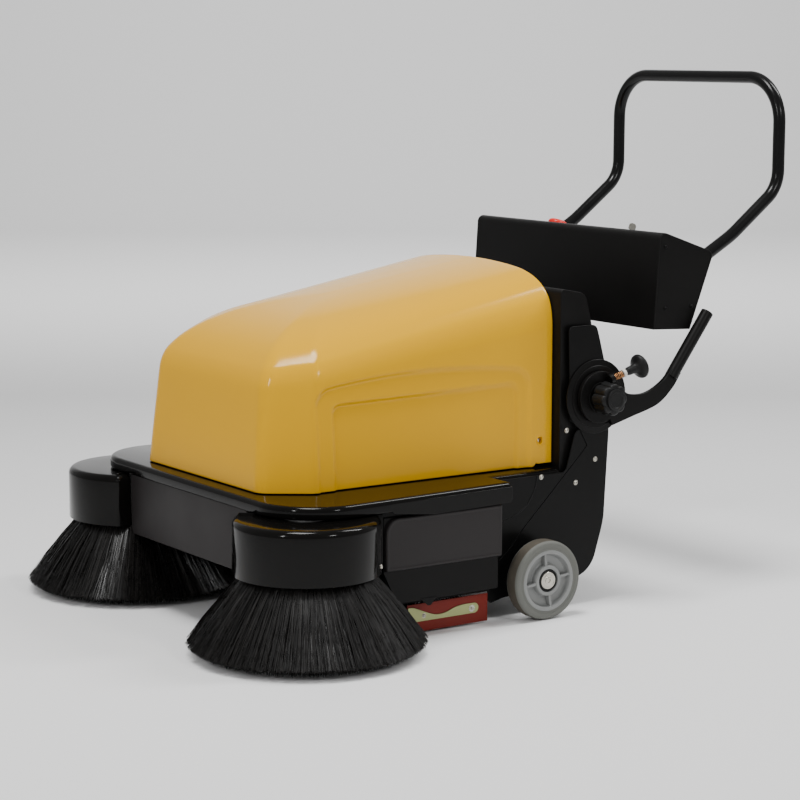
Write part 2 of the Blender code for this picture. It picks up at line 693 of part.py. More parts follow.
# --- power ----------------------------------------------------------------------------------
def power():
    def battery():
        outline = rounded([(0.012, -0.400, 0.004), (0.180, -0.400, 0.004), (0.180, -0.140, 0.004),
                           (0.012, -0.140, 0.004)], 1)
        return prism(outline, "Z", DECK_TOP + GAP, 0.465)

    both_sides("battery", battery, "battery_case")
    fan = [(0, DECK_TOP + GAP), (0.085, DECK_TOP + GAP), (0.085, 0.335), (0.055, 0.345),
           (0.055, 0.420), (0.045, 0.430), (0, 0.430)]
    add("fan_motor", turned(fan, "Z", (0, -0.005), FINE), "motor_grey")
    add("filter_panel", box((-0.250, 0.112, 0.285), (0.250, 0.164, 0.470)), "filter_paper")


# --- handle ---------------------------------------------------------------------------------
def index_plates():
    """A stepped round plate on each cheek, with the stud that the arm turns on."""
    def plate():
        face = CHEEK_OUT + GAP
        profile = [(0, face), (0.0715, face), (0.0715, face + 0.003), (0.0600, face + 0.0045),
                   (0.0600, face + 0.0062), (0.0060, face + 0.0062), (0.0060, 0.3186), (0, 0.3186)]
        return turned(profile, "X", PIVOT, FINE)

    both_sides("index_plate", plate, "satin_black")


def arms():
    """A curved arm from the pivot, with the tube that carries the console."""
    def arm():
        edge = [(0.254, 0.401), (0.292, 0.402), (0.330, 0.420), (0.357, 0.446)]
        under = [(0.378, 0.434), (0.355, 0.404), (0.318, 0.376), (0.255, 0.358), (0.203, 0.344)]
        hub = arc(PIVOT, 0.050, -62, -320, 18)
        return prism(hub + edge + under, "X", ARM_IN, ARM_OUT)

    def stub():
        return swept([(STUB_X, 0.3560, 0.4260), (STUB_X, 0.4480, 0.5480)], TUBE_RADIUS, 12)

    def bore():
        return turned([(0, 0.29), (0.0064, 0.29), (0.0064, 0.33), (0, 0.33)], "X", PIVOT)

    left, right = both_sides("arm", arm, "satin_black", (HANDLE_AXIS, HANDLE_AXIS))
    for piece, side in ((left, lambda mesh: mesh), (right, flipped)):
        join(piece, side(stub()))
        cut(piece, side(bore()))


def star_knobs():
    lobes = 8
    steps = 4

    def lobed():
        outline = []
        for step in range(lobes * steps):
            turn = 2 * math.pi * step / (lobes * steps)
            radius = 0.0285 + 0.0020 * math.cos(lobes * turn)
            outline.append((PIVOT[0] + radius * math.cos(turn), PIVOT[1] + radius * math.sin(turn)))
        return prism(outline, "X", 0.3385, 0.3600)

    def boss():
        profile = [(0, 0.3190), (0.0170, 0.3190), (0.0200, 0.3400), (0.0200, 0.3580),
                   (0.0210, 0.3620), (0.0195, 0.3650), (0, 0.3650)]
        return turned(profile, "X", PIVOT)

    for piece, side in zip(both_sides("star_knob", lobed, "knob_black", KNOB_AXES),
                           (lambda mesh: mesh, flipped)):
        join(piece, side(boss()))


def plunger():
    """A spring index plunger on the left arm: a barrel, and a pin with a mushroom knob."""
    lean = Matrix.Rotation(math.radians(PLUNGER_ANGLE), 4, "X")
    place = Matrix.Translation(PLUNGER_START) @ lean

    def along(profile, sides=ROUND):
        return moved(turned(profile, "Y", (0, 0), sides), place)

    barrel = [(0.0042, -0.004), (0.0090, -0.004), (0.0090, 0.006), (0.0042, 0.006)]
    holder = add("plunger_barrel", along(barrel, 16), "satin_black", HANDLE_AXIS)
    # its foot lies on the outer face of the arm's hub
    foot = box((ARM_OUT + GAP, 0.1905, 0.4290), (ARM_OUT + 0.0035, 0.1980, 0.4460))
    join(holder, foot)
    pin = [(0, -0.0035), (0.0036, -0.0035), (0.0036, 0.036), (0.0065, 0.036), (0.0065, 0.042),
           (0.0080, 0.042), (0.0095, 0.060), (0.0110, 0.062), (0.0210, 0.068), (0.0235, 0.073),
           (0.0235, 0.076), (0.0180, 0.080), (0, 0.081)]
    add("plunger_knob", along(pin), "knob_black", PLUNGER_AXIS)


def smooth_path(corners, steps=5):
    """A path through corners (point, bend radius) with each bend as an arc."""
    points = []
    for index, (corner, radius) in enumerate(corners):
        here = Vector(corner)
        if radius == 0:
            points.append(here)
            continue
        back = (Vector(corners[index - 1][0]) - here).normalized()
        ahead = (Vector(corners[index + 1][0]) - here).normalized()
        half = back.angle(ahead) / 2
        reach = radius / math.tan(half)
        centre = here + (back + ahead).normalized() * (radius / math.sin(half))
        first = here + back * reach - centre
        last = here + ahead * reach - centre
        axis = first.cross(last).normalized()
        sweep = first.angle(last)
        for step in range(steps + 1):
            points.append(centre + Matrix.Rotation(sweep * step / steps, 3, axis) @ first)
    return points


def handle():
    y, z = HANDLE_TOP
    half = HANDLE_HALF
    left = [((half, 0.4370, 0.6230), 0), ((half, 0.560, 0.690), 0.250),
            ((half, 0.683, 0.782), 0.070), ((half, y, z), HANDLE_BEND)]
    right = [((-point[0], point[1], point[2]), radius) for point, radius in reversed(left)]
    tube = swept(smooth_path(left + right), TUBE_RADIUS, 12)
    add("handle_tube", tube, "tube_black", HANDLE_AXIS)


PANEL_SLOPE = math.atan2(CONSOLE_FRONT[1] - CONSOLE_REAR[1], CONSOLE_REAR[0] - CONSOLE_FRONT[0])
PANEL_TILT = Matrix.Rotation(-PANEL_SLOPE, 4, "X")


def panel_place(x):
    """The point of the key's and the button's row at a distance from the middle."""
    return (x, CONSOLE_REAR[0] - PANEL_ROW * math.cos(PANEL_SLOPE),
            CONSOLE_REAR[1] + PANEL_ROW * math.sin(PANEL_SLOPE))


def console():
    """The box between the arms. Its sloping top carries the key switch and the stop button."""
    outline = rounded([(0.322, 0.520, 0.0), (0.415, 0.515, 0.0), (*CONSOLE_REAR, 0.014),
                       (*CONSOLE_FRONT, 0.014)])
    path = outline[1:] + outline[:1]
    half = CONSOLE_HALF
    sheet = path + list(reversed(offset_path(path, -SHEET)))
    shell = add("console", prism(sheet, "X", -half, half), "satin_black", HANDLE_AXIS)
    for way in (1, -1):
        ends = (way * (half - 0.0045), way * (half - 0.0010))
        join(shell, prism(offset_path(path, -0.0010), "X", min(ends), max(ends)))
    heading = Vector((0, 0.560 - 0.4370, 0.690 - 0.6230)).normalized()
    for way in (1, -1):
        start = Vector((way * HANDLE_HALF, 0.4370, 0.6230))
        hole = swept([start - heading * 0.01, start + heading * 0.06], TUBE_RADIUS + 0.0006, 12)
        cut(shell, hole)

    def on_panel(mesh, x):
        """A piece made upright over the origin, stood on the sloping top."""
        return moved(mesh, Matrix.Translation(panel_place(x)) @ PANEL_TILT)

    switch_face = [(0, GAP), (0.0110, GAP), (0.0110, 0.004), (0.0075, 0.006), (0, 0.006)]
    switch = add("key_switch", on_panel(turned(switch_face, "Z", (0, 0)), KEY_X), "zinc_steel",
                 KEY_AXIS)
    join(switch, on_panel(box((-0.0012, -0.0090, 0.005), (0.0012, 0.0090, 0.026)), KEY_X))
    button = [(0, 0.0065), (0.0170, 0.0065), (0.0200, 0.0090), (0.0200, 0.0130), (0.0150, 0.0180),
              (0, 0.0190)]
    add("stop_button", on_panel(turned(button, "Z", (0, 0)), BUTTON_X), "stop_red", BUTTON_AXIS)


# --- build ----------------------------------------------------------------------------------
for old in list(bpy.data.objects):
    bpy.data.objects.remove(old, do_unlink=True)

HOOD_AXIS = joint_empty("hood_axis", (0, *HOOD_HINGE))
WHEEL_AXES = [joint_empty(f"wheel_axis_{side}", (way * WHEEL_IN, AXLE_Y, WHEEL_RADIUS))
              for side, way in (("left", 1), ("right", -1))]
BRUSH_AXES = [joint_empty(f"side_brush_axis_{side}", (way * SIDE_BRUSH[0], SIDE_BRUSH[1], 0.13))
              for side, way in (("left", 1), ("right", -1))]
MAIN_BRUSH_AXIS = joint_empty("main_brush_axis", (0, *MAIN_BRUSH))
MOTOR_AXIS = joint_empty("motor_axis", (PULLEY_IN, *MOTOR_SHAFT))
CASTOR_AXIS = joint_empty("castor_axis", (0, CASTOR_Y, 0.14))
CASTOR_WHEEL_AXIS = joint_empty("castor_wheel_axis", (0, CASTOR_Y + CASTOR_TRAIL, CASTOR_RADIUS))
BIN_AXIS = joint_empty("bin_axis", (0, 0.19, 0.20))
HANDLE_AXIS = joint_empty("handle_axis", (0, *PIVOT))
KNOB_AXES = [joint_empty(f"knob_axis_{side}", (way * 0.331, *PIVOT))
             for side, way in (("left", 1), ("right", -1))]
PLUNGER_AXIS = joint_empty("plunger_axis", PLUNGER_START)
KEY_AXIS = joint_empty("key_axis", panel_place(KEY_X))
BUTTON_AXIS = joint_empty("button_axis", panel_place(BUTTON_X))

deck()
chassis_frame()
front_panel()
brush_covers()
skirts()
side_panels()
cheek_plates()
rear_housing()
hood()
hood_hinge()
wheels()
castor()
side_brushes()
main_brush()
brush_drive()
flaps()
dustbin()
power()
index_plates()
arms()
star_knobs()
plunger()
handle()
console()
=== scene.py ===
import json
import math

import bmesh
import bpy
import numpy as np
from mathutils import Matrix, Vector


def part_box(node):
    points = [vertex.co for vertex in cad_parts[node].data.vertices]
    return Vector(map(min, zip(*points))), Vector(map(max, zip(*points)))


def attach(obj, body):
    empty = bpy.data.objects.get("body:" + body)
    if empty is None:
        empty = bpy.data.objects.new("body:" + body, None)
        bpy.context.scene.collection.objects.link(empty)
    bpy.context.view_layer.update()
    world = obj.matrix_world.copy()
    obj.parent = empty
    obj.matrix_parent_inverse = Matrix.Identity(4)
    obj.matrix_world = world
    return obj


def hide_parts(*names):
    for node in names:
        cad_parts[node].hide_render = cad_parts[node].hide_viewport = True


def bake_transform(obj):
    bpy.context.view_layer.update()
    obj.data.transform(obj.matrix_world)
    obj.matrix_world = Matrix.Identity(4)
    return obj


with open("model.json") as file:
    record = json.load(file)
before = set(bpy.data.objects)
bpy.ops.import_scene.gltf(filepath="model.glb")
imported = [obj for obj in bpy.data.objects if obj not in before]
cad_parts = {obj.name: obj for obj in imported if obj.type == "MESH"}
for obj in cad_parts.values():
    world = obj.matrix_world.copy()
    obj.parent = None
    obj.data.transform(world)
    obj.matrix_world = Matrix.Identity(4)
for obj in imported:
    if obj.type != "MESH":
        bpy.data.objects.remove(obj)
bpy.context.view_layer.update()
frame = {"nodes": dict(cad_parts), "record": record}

NODES = frame["nodes"]
SIDES = ((1, "left"), (-1, "right"))


# --- places, from the frame -----------------------------------------------------------------
def middle(node):
    low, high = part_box(node)
    return (low + high) / 2


WHEEL = middle("tyre_left")
WHEEL_R = (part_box("tyre_left")[1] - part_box("tyre_left")[0]).z / 2
CASTOR = middle("castor_wheel")
SIDE_BRUSH = middle("side_brush_disc_left")
MAIN_BRUSH = middle("brush_pulley")
PIVOT = middle("index_plate_left")
CHEEK_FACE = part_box("cheek_plate_left")[1].x
DECK_LOW, DECK_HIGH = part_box("deck")
HOOD_LOW, HOOD_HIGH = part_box("hood")


# --- materials ------------------------------------------------------------------------------
def node_material(name, colour, roughness, metallic=0.0, spread=0.12, patch=9.0, grain=900.0,
                  bump=0.05, coat=0.0, uneven=0.06, specular=0.5, streak=None, dust=0.0):
    """A surface with patchy colour, uneven roughness, fine grain and a little dust on top faces."""
    made = bpy.data.materials.new(name)
    made.use_nodes = True
    nodes, links = made.node_tree.nodes, made.node_tree.links
    shader = nodes["Principled BSDF"]
    shader.inputs["Metallic"].default_value = metallic
    shader.inputs["Specular IOR Level"].default_value = specular
    shader.inputs["Coat Weight"].default_value = coat
    shader.inputs["Coat Roughness"].default_value = 0.05
    place = nodes.new("ShaderNodeTexCoord")
    source = place.outputs["Object"]
    if streak:
        stretch = nodes.new("ShaderNodeMapping")
        stretch.inputs["Scale"].default_value = streak
        links.new(source, stretch.inputs["Vector"])
        source = stretch.outputs["Vector"]
    patches = nodes.new("ShaderNodeTexNoise")
    patches.inputs["Scale"].default_value = patch
    patches.inputs["Detail"].default_value = 5.0
    links.new(source, patches.inputs["Vector"])
    tint = nodes.new("ShaderNodeMix")
    tint.data_type = "RGBA"
    dark = [c * (1 - spread) for c in colour]
    light = [min(1.0, c * (1 + spread)) for c in colour]
    tint.inputs["A"].default_value = (*dark, 1)
    tint.inputs["B"].default_value = (*light, 1)
    links.new(patches.outputs["Fac"], tint.inputs["Factor"])
    colour_out = tint.outputs["Result"]
    if dust > 0:
        shape = nodes.new("ShaderNodeNewGeometry")
        parts = nodes.new("ShaderNodeSeparateXYZ")
        links.new(shape.outputs["Normal"], parts.inputs["Vector"])
        upward = nodes.new("ShaderNodeMapRange")
        upward.inputs["From Min"].default_value = 0.2
        upward.inputs["From Max"].default_value = 1.0
        upward.inputs["To Max"].default_value = dust
        links.new(parts.outputs["Z"], upward.inputs["Value"])
        film = nodes.new("ShaderNodeMix")
        film.data_type = "RGBA"
        film.inputs["B"].default_value = (0.30, 0.28, 0.25, 1)
        links.new(upward.outputs["Result"], film.inputs["Factor"])
        links.new(colour_out, film.inputs["A"])
        colour_out = film.outputs["Result"]
    links.new(colour_out, shader.inputs["Base Color"])
    fine = nodes.new("ShaderNodeTexNoise")
    fine.inputs["Scale"].default_value = grain
    fine.inputs["Detail"].default_value = 3.0
    links.new(source, fine.inputs["Vector"])
    rough = nodes.new("ShaderNodeMapRange")
    rough.inputs["From Min"].default_value = 0.3
    rough.inputs["From Max"].default_value = 0.7
    rough.inputs["To Min"].default_value = max(0.02, roughness - uneven)
    rough.inputs["To Max"].default_value = min(1.0, roughness + uneven)
    links.new(patches.outputs["Fac"], rough.inputs["Value"])
    links.new(rough.outputs["Result"], shader.inputs["Roughness"])
    relief = nodes.new("ShaderNodeBump")
    relief.inputs["Strength"].default_value = bump
    relief.inputs["Distance"].default_value = 0.0004
    links.new(fine.outputs["Fac"], relief.inputs["Height"])
    links.new(relief.outputs["Normal"], shader.inputs["Normal"])
    return made


LOOKS = {
    "yellow_plastic": node_material("yellow gloss", (0.70, 0.362, 0.0), 0.15, spread=0.02,
                                    patch=3, grain=60, bump=0.02, uneven=0.02, specular=0.22),
    "gloss_black": node_material("gloss black", (0.0030, 0.0027, 0.0024), 0.10, spread=0.2,
                                 grain=45, bump=0.03, uneven=0.02, specular=0.14, dust=0.001),
    "satin_black": node_material("moulded black", (0.0045, 0.0042, 0.0040), 0.40, grain=1400,
                                 bump=0.25, specular=0.12, dust=0.003),
    "steel_black": node_material("powder coat black", (0.0042, 0.0041, 0.0040), 0.34, grain=700,
                                 bump=0.22, specular=0.12, dust=0.004),
    "panel_grey": node_material("dark grey panel", (0.020, 0.0175, 0.0175), 0.46, grain=1200,
                                bump=0.2, specular=0.2),
    "knob_black": node_material("knob black", (0.005, 0.005, 0.005), 0.42, grain=1600, bump=0.3,
                                specular=0.22),
    "tube_black": node_material("tube black", (0.0035, 0.0035, 0.0035), 0.22, grain=500,
                                bump=0.06, specular=0.20),
    "bristle_black": node_material("nylon bristle", (0.0042, 0.0042, 0.0042), 0.30, spread=0.35,
                                   patch=60, grain=300, bump=0.02, specular=0.42),
    "tyre_grey": node_material("grey tyre", (0.125, 0.128, 0.115), 0.56, spread=0.10, patch=30,
                               grain=900, bump=0.25, specular=0.3),
    "rim_grey": node_material("grey rim", (0.215, 0.220, 0.215), 0.42, spread=0.06, patch=25,
                              grain=900, bump=0.12, specular=0.4),
    "zinc_steel": node_material("zinc steel", (0.52, 0.50, 0.44), 0.30, metallic=1.0, spread=0.15,
                                patch=90, grain=700, bump=0.1),
    "strip_zinc": node_material("passivated strip", (0.32, 0.34, 0.15), 0.40, metallic=0.5,
                                spread=0.18, patch=35, grain=600, bump=0.1),
    "flap_red": node_material("red rubber", (0.170, 0.012, 0.006), 0.55, spread=0.16, patch=14,
                              grain=900, bump=0.25, specular=0.3),
    "belt_rubber": node_material("belt rubber", (0.006, 0.006, 0.006), 0.75, grain=1200, bump=0.3,
                                 specular=0.2),
    "battery_case": node_material("battery case", (0.030, 0.038, 0.055), 0.45, grain=900,
                                  bump=0.2),
    "motor_grey": node_material("motor grey", (0.09, 0.09, 0.09), 0.38, metallic=0.6, grain=600,
                                bump=0.15),
    "filter_paper": node_material("filter paper", (0.58, 0.53, 0.40), 0.90, spread=0.08, patch=40,
                                  grain=900, bump=0.4),
    "stop_red": node_material("stop red", (0.70, 0.012, 0.006), 0.28, spread=0.05, grain=200,
                              bump=0.05, specular=0.4),
}


def vary_by_piece(material, dark, light):
    """Each separate filament of the mesh takes its own shade."""
    nodes, links = material.node_tree.nodes, material.node_tree.links
    shape = nodes.new("ShaderNodeNewGeometry")
    tint = nodes.new("ShaderNodeMix")
    tint.data_type = "RGBA"
    tint.inputs["A"].default_value = (*dark, 1)
    tint.inputs["B"].default_value = (*light, 1)
    links.new(shape.outputs["Random Per Island"], tint.inputs["Factor"])
    links.new(tint.outputs["Result"], nodes["Principled BSDF"].inputs["Base Color"])


vary_by_piece(LOOKS["bristle_black"], (0.0012, 0.0011, 0.0010), (0.016, 0.0145, 0.0135))
COPPER = node_material("copper spring", (0.62, 0.30, 0.13), 0.30, metallic=1.0, spread=0.15,
                       patch=150, grain=500, bump=0.1)
WHITE = node_material("white bush", (0.62, 0.60, 0.54), 0.40, spread=0.05, grain=900, bump=0.1)
AMBER = node_material("amber ring", (0.80, 0.42, 0.02), 0.45, spread=0.05, grain=900, bump=0.1)
BLUE = node_material("blue grip", (0.02, 0.05, 0.16), 0.50, grain=900, bump=0.2)
# near black and matte: painted shade for the hollow round each wheel's bore
BORE_SHADE = node_material("dark hollow", (0.004, 0.004, 0.004), 0.80, grain=900, bump=0.1)
LENS = node_material("gauge lens", (0.02, 0.05, 0.03), 0.12, spread=0.3, patch=60, grain=60,
                     bump=0.01, coat=0.5)
TREAD = node_material("tyre tread", (0.075, 0.066, 0.052), 0.65, spread=0.2, patch=60, grain=900,
                      bump=0.3, specular=0.2)


# --- outlines -------------------------------------------------------------------------------
def arc(centre, radius, start, end, steps):
    """Points on a circle from start to end, in degrees."""
    turns = [math.radians(start + (end - start) * i / steps) for i in range(steps + 1)]
    return [(centre[0] + radius * math.cos(t), centre[1] + radius * math.sin(t)) for t in turns]


def rounded(corners, steps=10):
    """A closed outline whose corners (a, b, radius) are filleted."""
    points = []
    count = len(corners)
    for index, (a, b, radius) in enumerate(corners):
        here = Vector((a, b))
        if radius == 0.0:
            points.append((a, b))
            continue
        back = (Vector(corners[index - 1][:2]) - here).normalized()
        ahead = (Vector(corners[(index + 1) % count][:2]) - here).normalized()
        half = back.angle(ahead) / 2
        reach = radius / math.tan(half)
        centre = here + (back + ahead).normalized() * (radius / math.sin(half))
        first = here + back * reach - centre
        last = here + ahead * reach - centre
        sweep = first.angle_signed(last)
        for step in range(steps + 1):
            points.append(tuple(centre + Matrix.Rotation(-sweep * step / steps, 2) @ first))
    return points


def offset_path(path, distance, loop=False):
    """A path moved to its right-hand side by distance, with mitred corners."""
    moved_points = []
    count = len(path)
    for index, point in enumerate(path):
        here = Vector(point)
        first = path[index - 1] if loop or index > 0 else None
        last = path[(index + 1) % count] if loop or index < count - 1 else None
        before = (here - Vector(first)).normalized() if first is not None else None
        after = (Vector(last) - here).normalized() if last is not None else before
        before = before or after
        normal = Vector((before.y + after.y, -before.x - after.x)).normalized()
        scale = distance / max(0.2, normal.dot(Vector((before.y, -before.x))))
        moved_points.append(tuple(here + normal * scale))
    return moved_points


def mirrored(path):
    """A path on the left side, continued by its mirror image on the right side."""
    return path + [(-x, y) for x, y in reversed(path)]


def smooth_curve(points, per_span=8):
    """A Catmull-Rom curve through points in two or three dimensions."""
    made = []
    points = [Vector(p) for p in points]
    for index in range(len(points) - 1):
        p0 = points[max(index - 1, 0)]
        p1, p2 = points[index], points[index + 1]
        p3 = points[min(index + 2, len(points) - 1)]
        for step in range(per_span):
            t = step / per_span
            made.append(0.5 * ((2 * p1) + (p2 - p0) * t + (2 * p0 - 5 * p1 + 4 * p2 - p3) * t * t
                               + (3 * p1 - p0 - 3 * p2 + p3) * t ** 3))
    made.append(points[-1])
    return made


# --- meshes ---------------------------------------------------------------------------------
def spread_out(axis, pair, along):
    a, b = pair
    return {"X": (along, a, b), "Y": (a, along, b), "Z": (a, b, along)}[axis]


def closed(mesh):
    bmesh.ops.recalc_face_normals(mesh, faces=mesh.faces)
    return mesh


def prism(outline, axis, low, high):
    """An outline extruded along an axis."""
    mesh = bmesh.new()
    ends = [[mesh.verts.new(spread_out(axis, pair, at)) for pair in outline] for at in (low, high)]
    for index in range(len(outline)):
        after = (index + 1) % len(outline)
        mesh.faces.new((ends[0][index], ends[0][after], ends[1][after], ends[1][index]))
    mesh.faces.new(reversed(ends[0]))
    mesh.faces.new(ends[1])
    return closed(mesh)


def box(low, high):
    outline = [(low[0], low[1]), (high[0], low[1]), (high[0], high[1]), (low[0], high[1])]
    return prism(outline, "Z", low[2], high[2])


def bridge(mesh, rows, loop=True):
    """Faces between neighbouring rows of vertices, where each row is a ring or an open line."""
    for one, two in zip(rows, rows[1:]):
        for index in range(len(one) if loop else len(one) - 1):
            after = (index + 1) % len(one)
            mesh.faces.new((one[index], one[after], two[after], two[index]))


def layered(layers):
    """Outlines of the same length stacked in Z, as (outline, height)."""
    mesh = bmesh.new()
    rows = [[mesh.verts.new((x, y, height)) for x, y in outline] for outline, height in layers]
    bridge(mesh, rows)
    mesh.faces.new(reversed(rows[0]))
    mesh.faces.new(rows[-1])
    return closed(mesh)


def turned(profile, axis="Z", centre=(0, 0), sides=64):
    """A profile of (radius, height) turned about an axis; closed on the axis or into a ring."""
    mesh = bmesh.new()
    rings = []
    for radius, height in profile:
        steps = sides if radius > 0 else 1
        ring = []
        for step in range(steps):
            turn = 2 * math.pi * step / steps
            pair = (centre[0] + radius * math.cos(turn), centre[1] + radius * math.sin(turn))
            ring.append(mesh.verts.new(spread_out(axis, pair, height)))
        rings.append(ring)
    pairs = list(zip(rings, rings[1:]))
    if profile[0][0] > 0:
        pairs.append((rings[-1], rings[0]))
    for one, two in pairs:
        for index in range(max(len(one), len(two))):
            after = index + 1
            corners = [one[index % len(one)], one[after % len(one)],
                       two[after % len(two)], two[index % len(two)]]
            face = list(dict.fromkeys(corners))
            if len(face) > 2:
                mesh.faces.new(face)
    return closed(mesh)


def swept(path, radius, sides=20):
    """A round bar along a path, with closed ends."""
    mesh = bmesh.new()
    points = [Vector(point) for point in path]
    side = None
    rings = []
    for index, point in enumerate(points):
        ahead = points[min(index + 1, len(points) - 1)] - points[max(index - 1, 0)]
        ahead.normalize()
        side = ahead.orthogonal().normalized() if side is None else side
        side = (side - ahead * side.dot(ahead)).normalized()
        up = ahead.cross(side)
        ring = []
        for step in range(sides):
            turn = 2 * math.pi * step / sides
            out = side * math.cos(turn) + up * math.sin(turn)
            ring.append(mesh.verts.new(point + out * radius))
        rings.append(ring)
    bridge(mesh, rings)
    mesh.faces.new(reversed(rings[0]))
    mesh.faces.new(rings[-1])
    return closed(mesh)


def moved(mesh, matrix):
    bmesh.ops.transform(mesh, matrix=matrix, verts=mesh.verts)
    return closed(mesh)


def on_side(mesh, way):
    """The mesh as made for the left side, or its mirror image on the right."""
    if way > 0:
        return mesh
    return moved(mesh, Matrix.Scale(-1, 4, Vector((1, 0, 0))))


def together(meshes):
    """Several meshes as one."""
    data = bpy.data.meshes.new("parts")
    whole = bmesh.new()
    for mesh in meshes:
        mesh.to_mesh(data)
        mesh.free()
        whole.from_mesh(data)
    bpy.data.meshes.remove(data)
    return whole


# --- pieces ---------------------------------------------------------------------------------
def soften(made, width, segments, sharp):
    """Rounds the edges where faces meet at more than an angle, in degrees."""
    edge = made.modifiers.new("edges", "BEVEL")
    edge.width = width
    edge.segments = segments
    edge.limit_method = "ANGLE"
    edge.angle_limit = math.radians(sharp)
    return edge


def piece(name, mesh, look, body, replaces=(), bevel=0.0, segments=3, sharp=38.0, material=None):
    """A finished object: shaded, given its material, and set on its body."""
    data = bpy.data.meshes.new(name)
    mesh.to_mesh(data)
    mesh.free()
    data.shade_smooth()
    made = bpy.data.objects.new(name, data)
    bpy.context.scene.collection.objects.link(made)
    data.materials.append(material or LOOKS[look])
    if bevel > 0:
        soften(made, bevel, segments, sharp).harden_normals = True
    else:
        data.set_sharp_from_angle(angle=math.radians(sharp))
    if body:
        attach(made, body)
    if replaces:
        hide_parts(*replaces)
    return made


def pair(name, mesh, look, body, node=None, **finish):
    """A piece on the left and its mirror image on the right. {} in the body is the side."""
    made = []
    for way, side in SIDES:
        replaces = [f"{node}_{side}"] if node else ()
        made.append(piece(f"{name}_{side}", on_side(mesh.copy(), way), look, body.format(side),
                          replaces, **finish))
    mesh.free()
    return made


def walled(made, thickness, bevel):
    """Gives an open surface a wall on its inside, and softens the wall's edges."""
    wall = made.modifiers.new("wall", "SOLIDIFY")
    wall.thickness = thickness
    wall.offset = -1
    soften(made, bevel, 2, 60)


def refined(node, body, look, bevel=0.0012, segments=3, sharp=38.0):
    """A CAD node's shape with its edges rounded, in its place."""
    mesh = bmesh.new()
    mesh.from_mesh(NODES[node].data)
    bmesh.ops.remove_doubles(mesh, verts=mesh.verts, dist=0.00002)
    bmesh.ops.dissolve_limit(mesh, angle_limit=math.radians(1.0), verts=mesh.verts,
                             edges=mesh.edges)
    return piece(node + "_finished", mesh, look, body, [node], bevel, segments, sharp)


def screw_head(place, normal, radius=0.0042):
    """A domed screw head with a round recess, on a washer."""
    profile = [(0, 0.0011), (radius * 0.30, 0.0011), (radius * 0.36, 0.0026),
               (radius * 0.60, 0.0024), (radius * 0.85, 0.0017), (radius, 0.0006),
               (radius * 1.02, 0.0), (radius * 1.30, 0.0), (radius * 1.30, -0.0004), (0, -0.0004)]
    turn = Vector((0, 0, 1)).rotation_difference(Vector(normal)).to_matrix().to_4x4()
    return moved(turned(profile, sides=24), Matrix.Translation(place) @ turn)


# --- hood -----------------------------------------------------------------------------------
HOOD_HALF = HOOD_HIGH.x
HOOD_FRONT, HOOD_REAR, HOOD_BOTTOM = HOOD_LOW.y, HOOD_HIGH.y, HOOD_LOW.z - 0.0022
HOOD_STEP_Y = 0.058          # behind this the bottom edge is a little higher
# how far each level is drawn in, with its height above the bottom edge at the front and rear
HOOD_LEVELS = ((0.000, 0.000, 0.000), (0.005, 0.055, 0.075), (0.012, 0.125, 0.165),
               (0.016, 0.165, 0.230), (0.0195, 0.190, 0.285), (0.027, 0.209, 0.314),
               (0.038, 0.222, 0.330), (0.055, 0.236, 0.345), (0.080, 0.250, 0.358),
               (0.115, 0.263, 0.368), (0.160, 0.274, 0.374), (0.215, 0.281, 0.378),
               (0.2675, 0.284, 0.380))
HOOD_DRAFT = 0.018           # the walls lean in by this at the front, and not at the rear
HOLE = (0.0705, 0.322)       # y, z of the screw on the hood's side
HOLE_RADIUS = 0.0066


def smooth_step(value, low, high):
    t = min(1.0, max(0.0, (value - low) / (high - low)))
    return t * t * (3 - 2 * t)


def frame_depth(y, z, rear, front, top, radius):
    """How far a point lies inside a frame that is open below, rounded at its upper corners."""
    across = max(y - rear, front - y) + radius
    up = z - top + radius
    if across > 0 and up > 0:
        return radius - math.hypot(across, up)
    return radius - max(across, up)


def side_relief(y, z):
    """The depth pressed into the hood's side: a broad frame and a panel inside it."""
    along = (y + 0.414) / 0.471
    broad_top = 0.455 + 0.075 * along * (1 - along) + 0.002 * along
    broad = frame_depth(y, z, 0.046, -0.424, broad_top, 0.030)
    panel = frame_depth(y, z, 0.020, -0.388, 0.4265 + 0.022 * (y + 0.386), 0.016)
    return 0.0045 * smooth_step(broad, -0.004, 0.005) + 0.0055 * smooth_step(panel, -0.0015, 0.0035)


def hood_plan(inset):
    """The hood's outline on the left side at a level, from the rear corner round to the front."""
    shrink = max(0.12, 1 - inset / 0.24)
    half = HOOD_HALF - inset
    front = HOOD_FRONT + inset
    wide, deep = 0.058 * shrink, 0.083 * shrink
    corners = ((half, front + deep, 0.034 * shrink),
               (max(half - wide, 0.0004), front, 0.036 * shrink))
    path = [Vector((half, HOOD_REAR)), *(Vector(c[:2]) for c in corners), Vector((0, front))]
    points = [path[0]]
    for index in (1, 2):
        here, radius = path[index], corners[index - 1][2]
        back = (path[index - 1] - here)
        ahead = (path[index + 1] - here)
        limit = 0.48 * min(back.length, ahead.length)
        half_angle = back.angle(ahead, math.pi) / 2 if min(back.length, ahead.length) > 0 else 1.5
        reach = min(radius / math.tan(half_angle), limit)
        start, end = here + back.normalized() * reach, here + ahead.normalized() * reach
        for step in range(9):
            t = step / 8
            points.append(start * (1 - t) ** 2 + here * 2 * t * (1 - t) + end * t * t)
    points.append(path[3])
    return points


def along_path(points, share):
    """Points of a path at given distances from its start, as shares of its whole length."""
    steps = np.array([(b - a).length for a, b in zip(points, points[1:])])
    total = np.concatenate(([0], np.cumsum(steps)))
    xs = np.interp(share * total[-1], total, [p.x for p in points])
    ys = np.interp(share * total[-1], total, [p.y for p in points])
    return np.stack([xs, ys], 1)


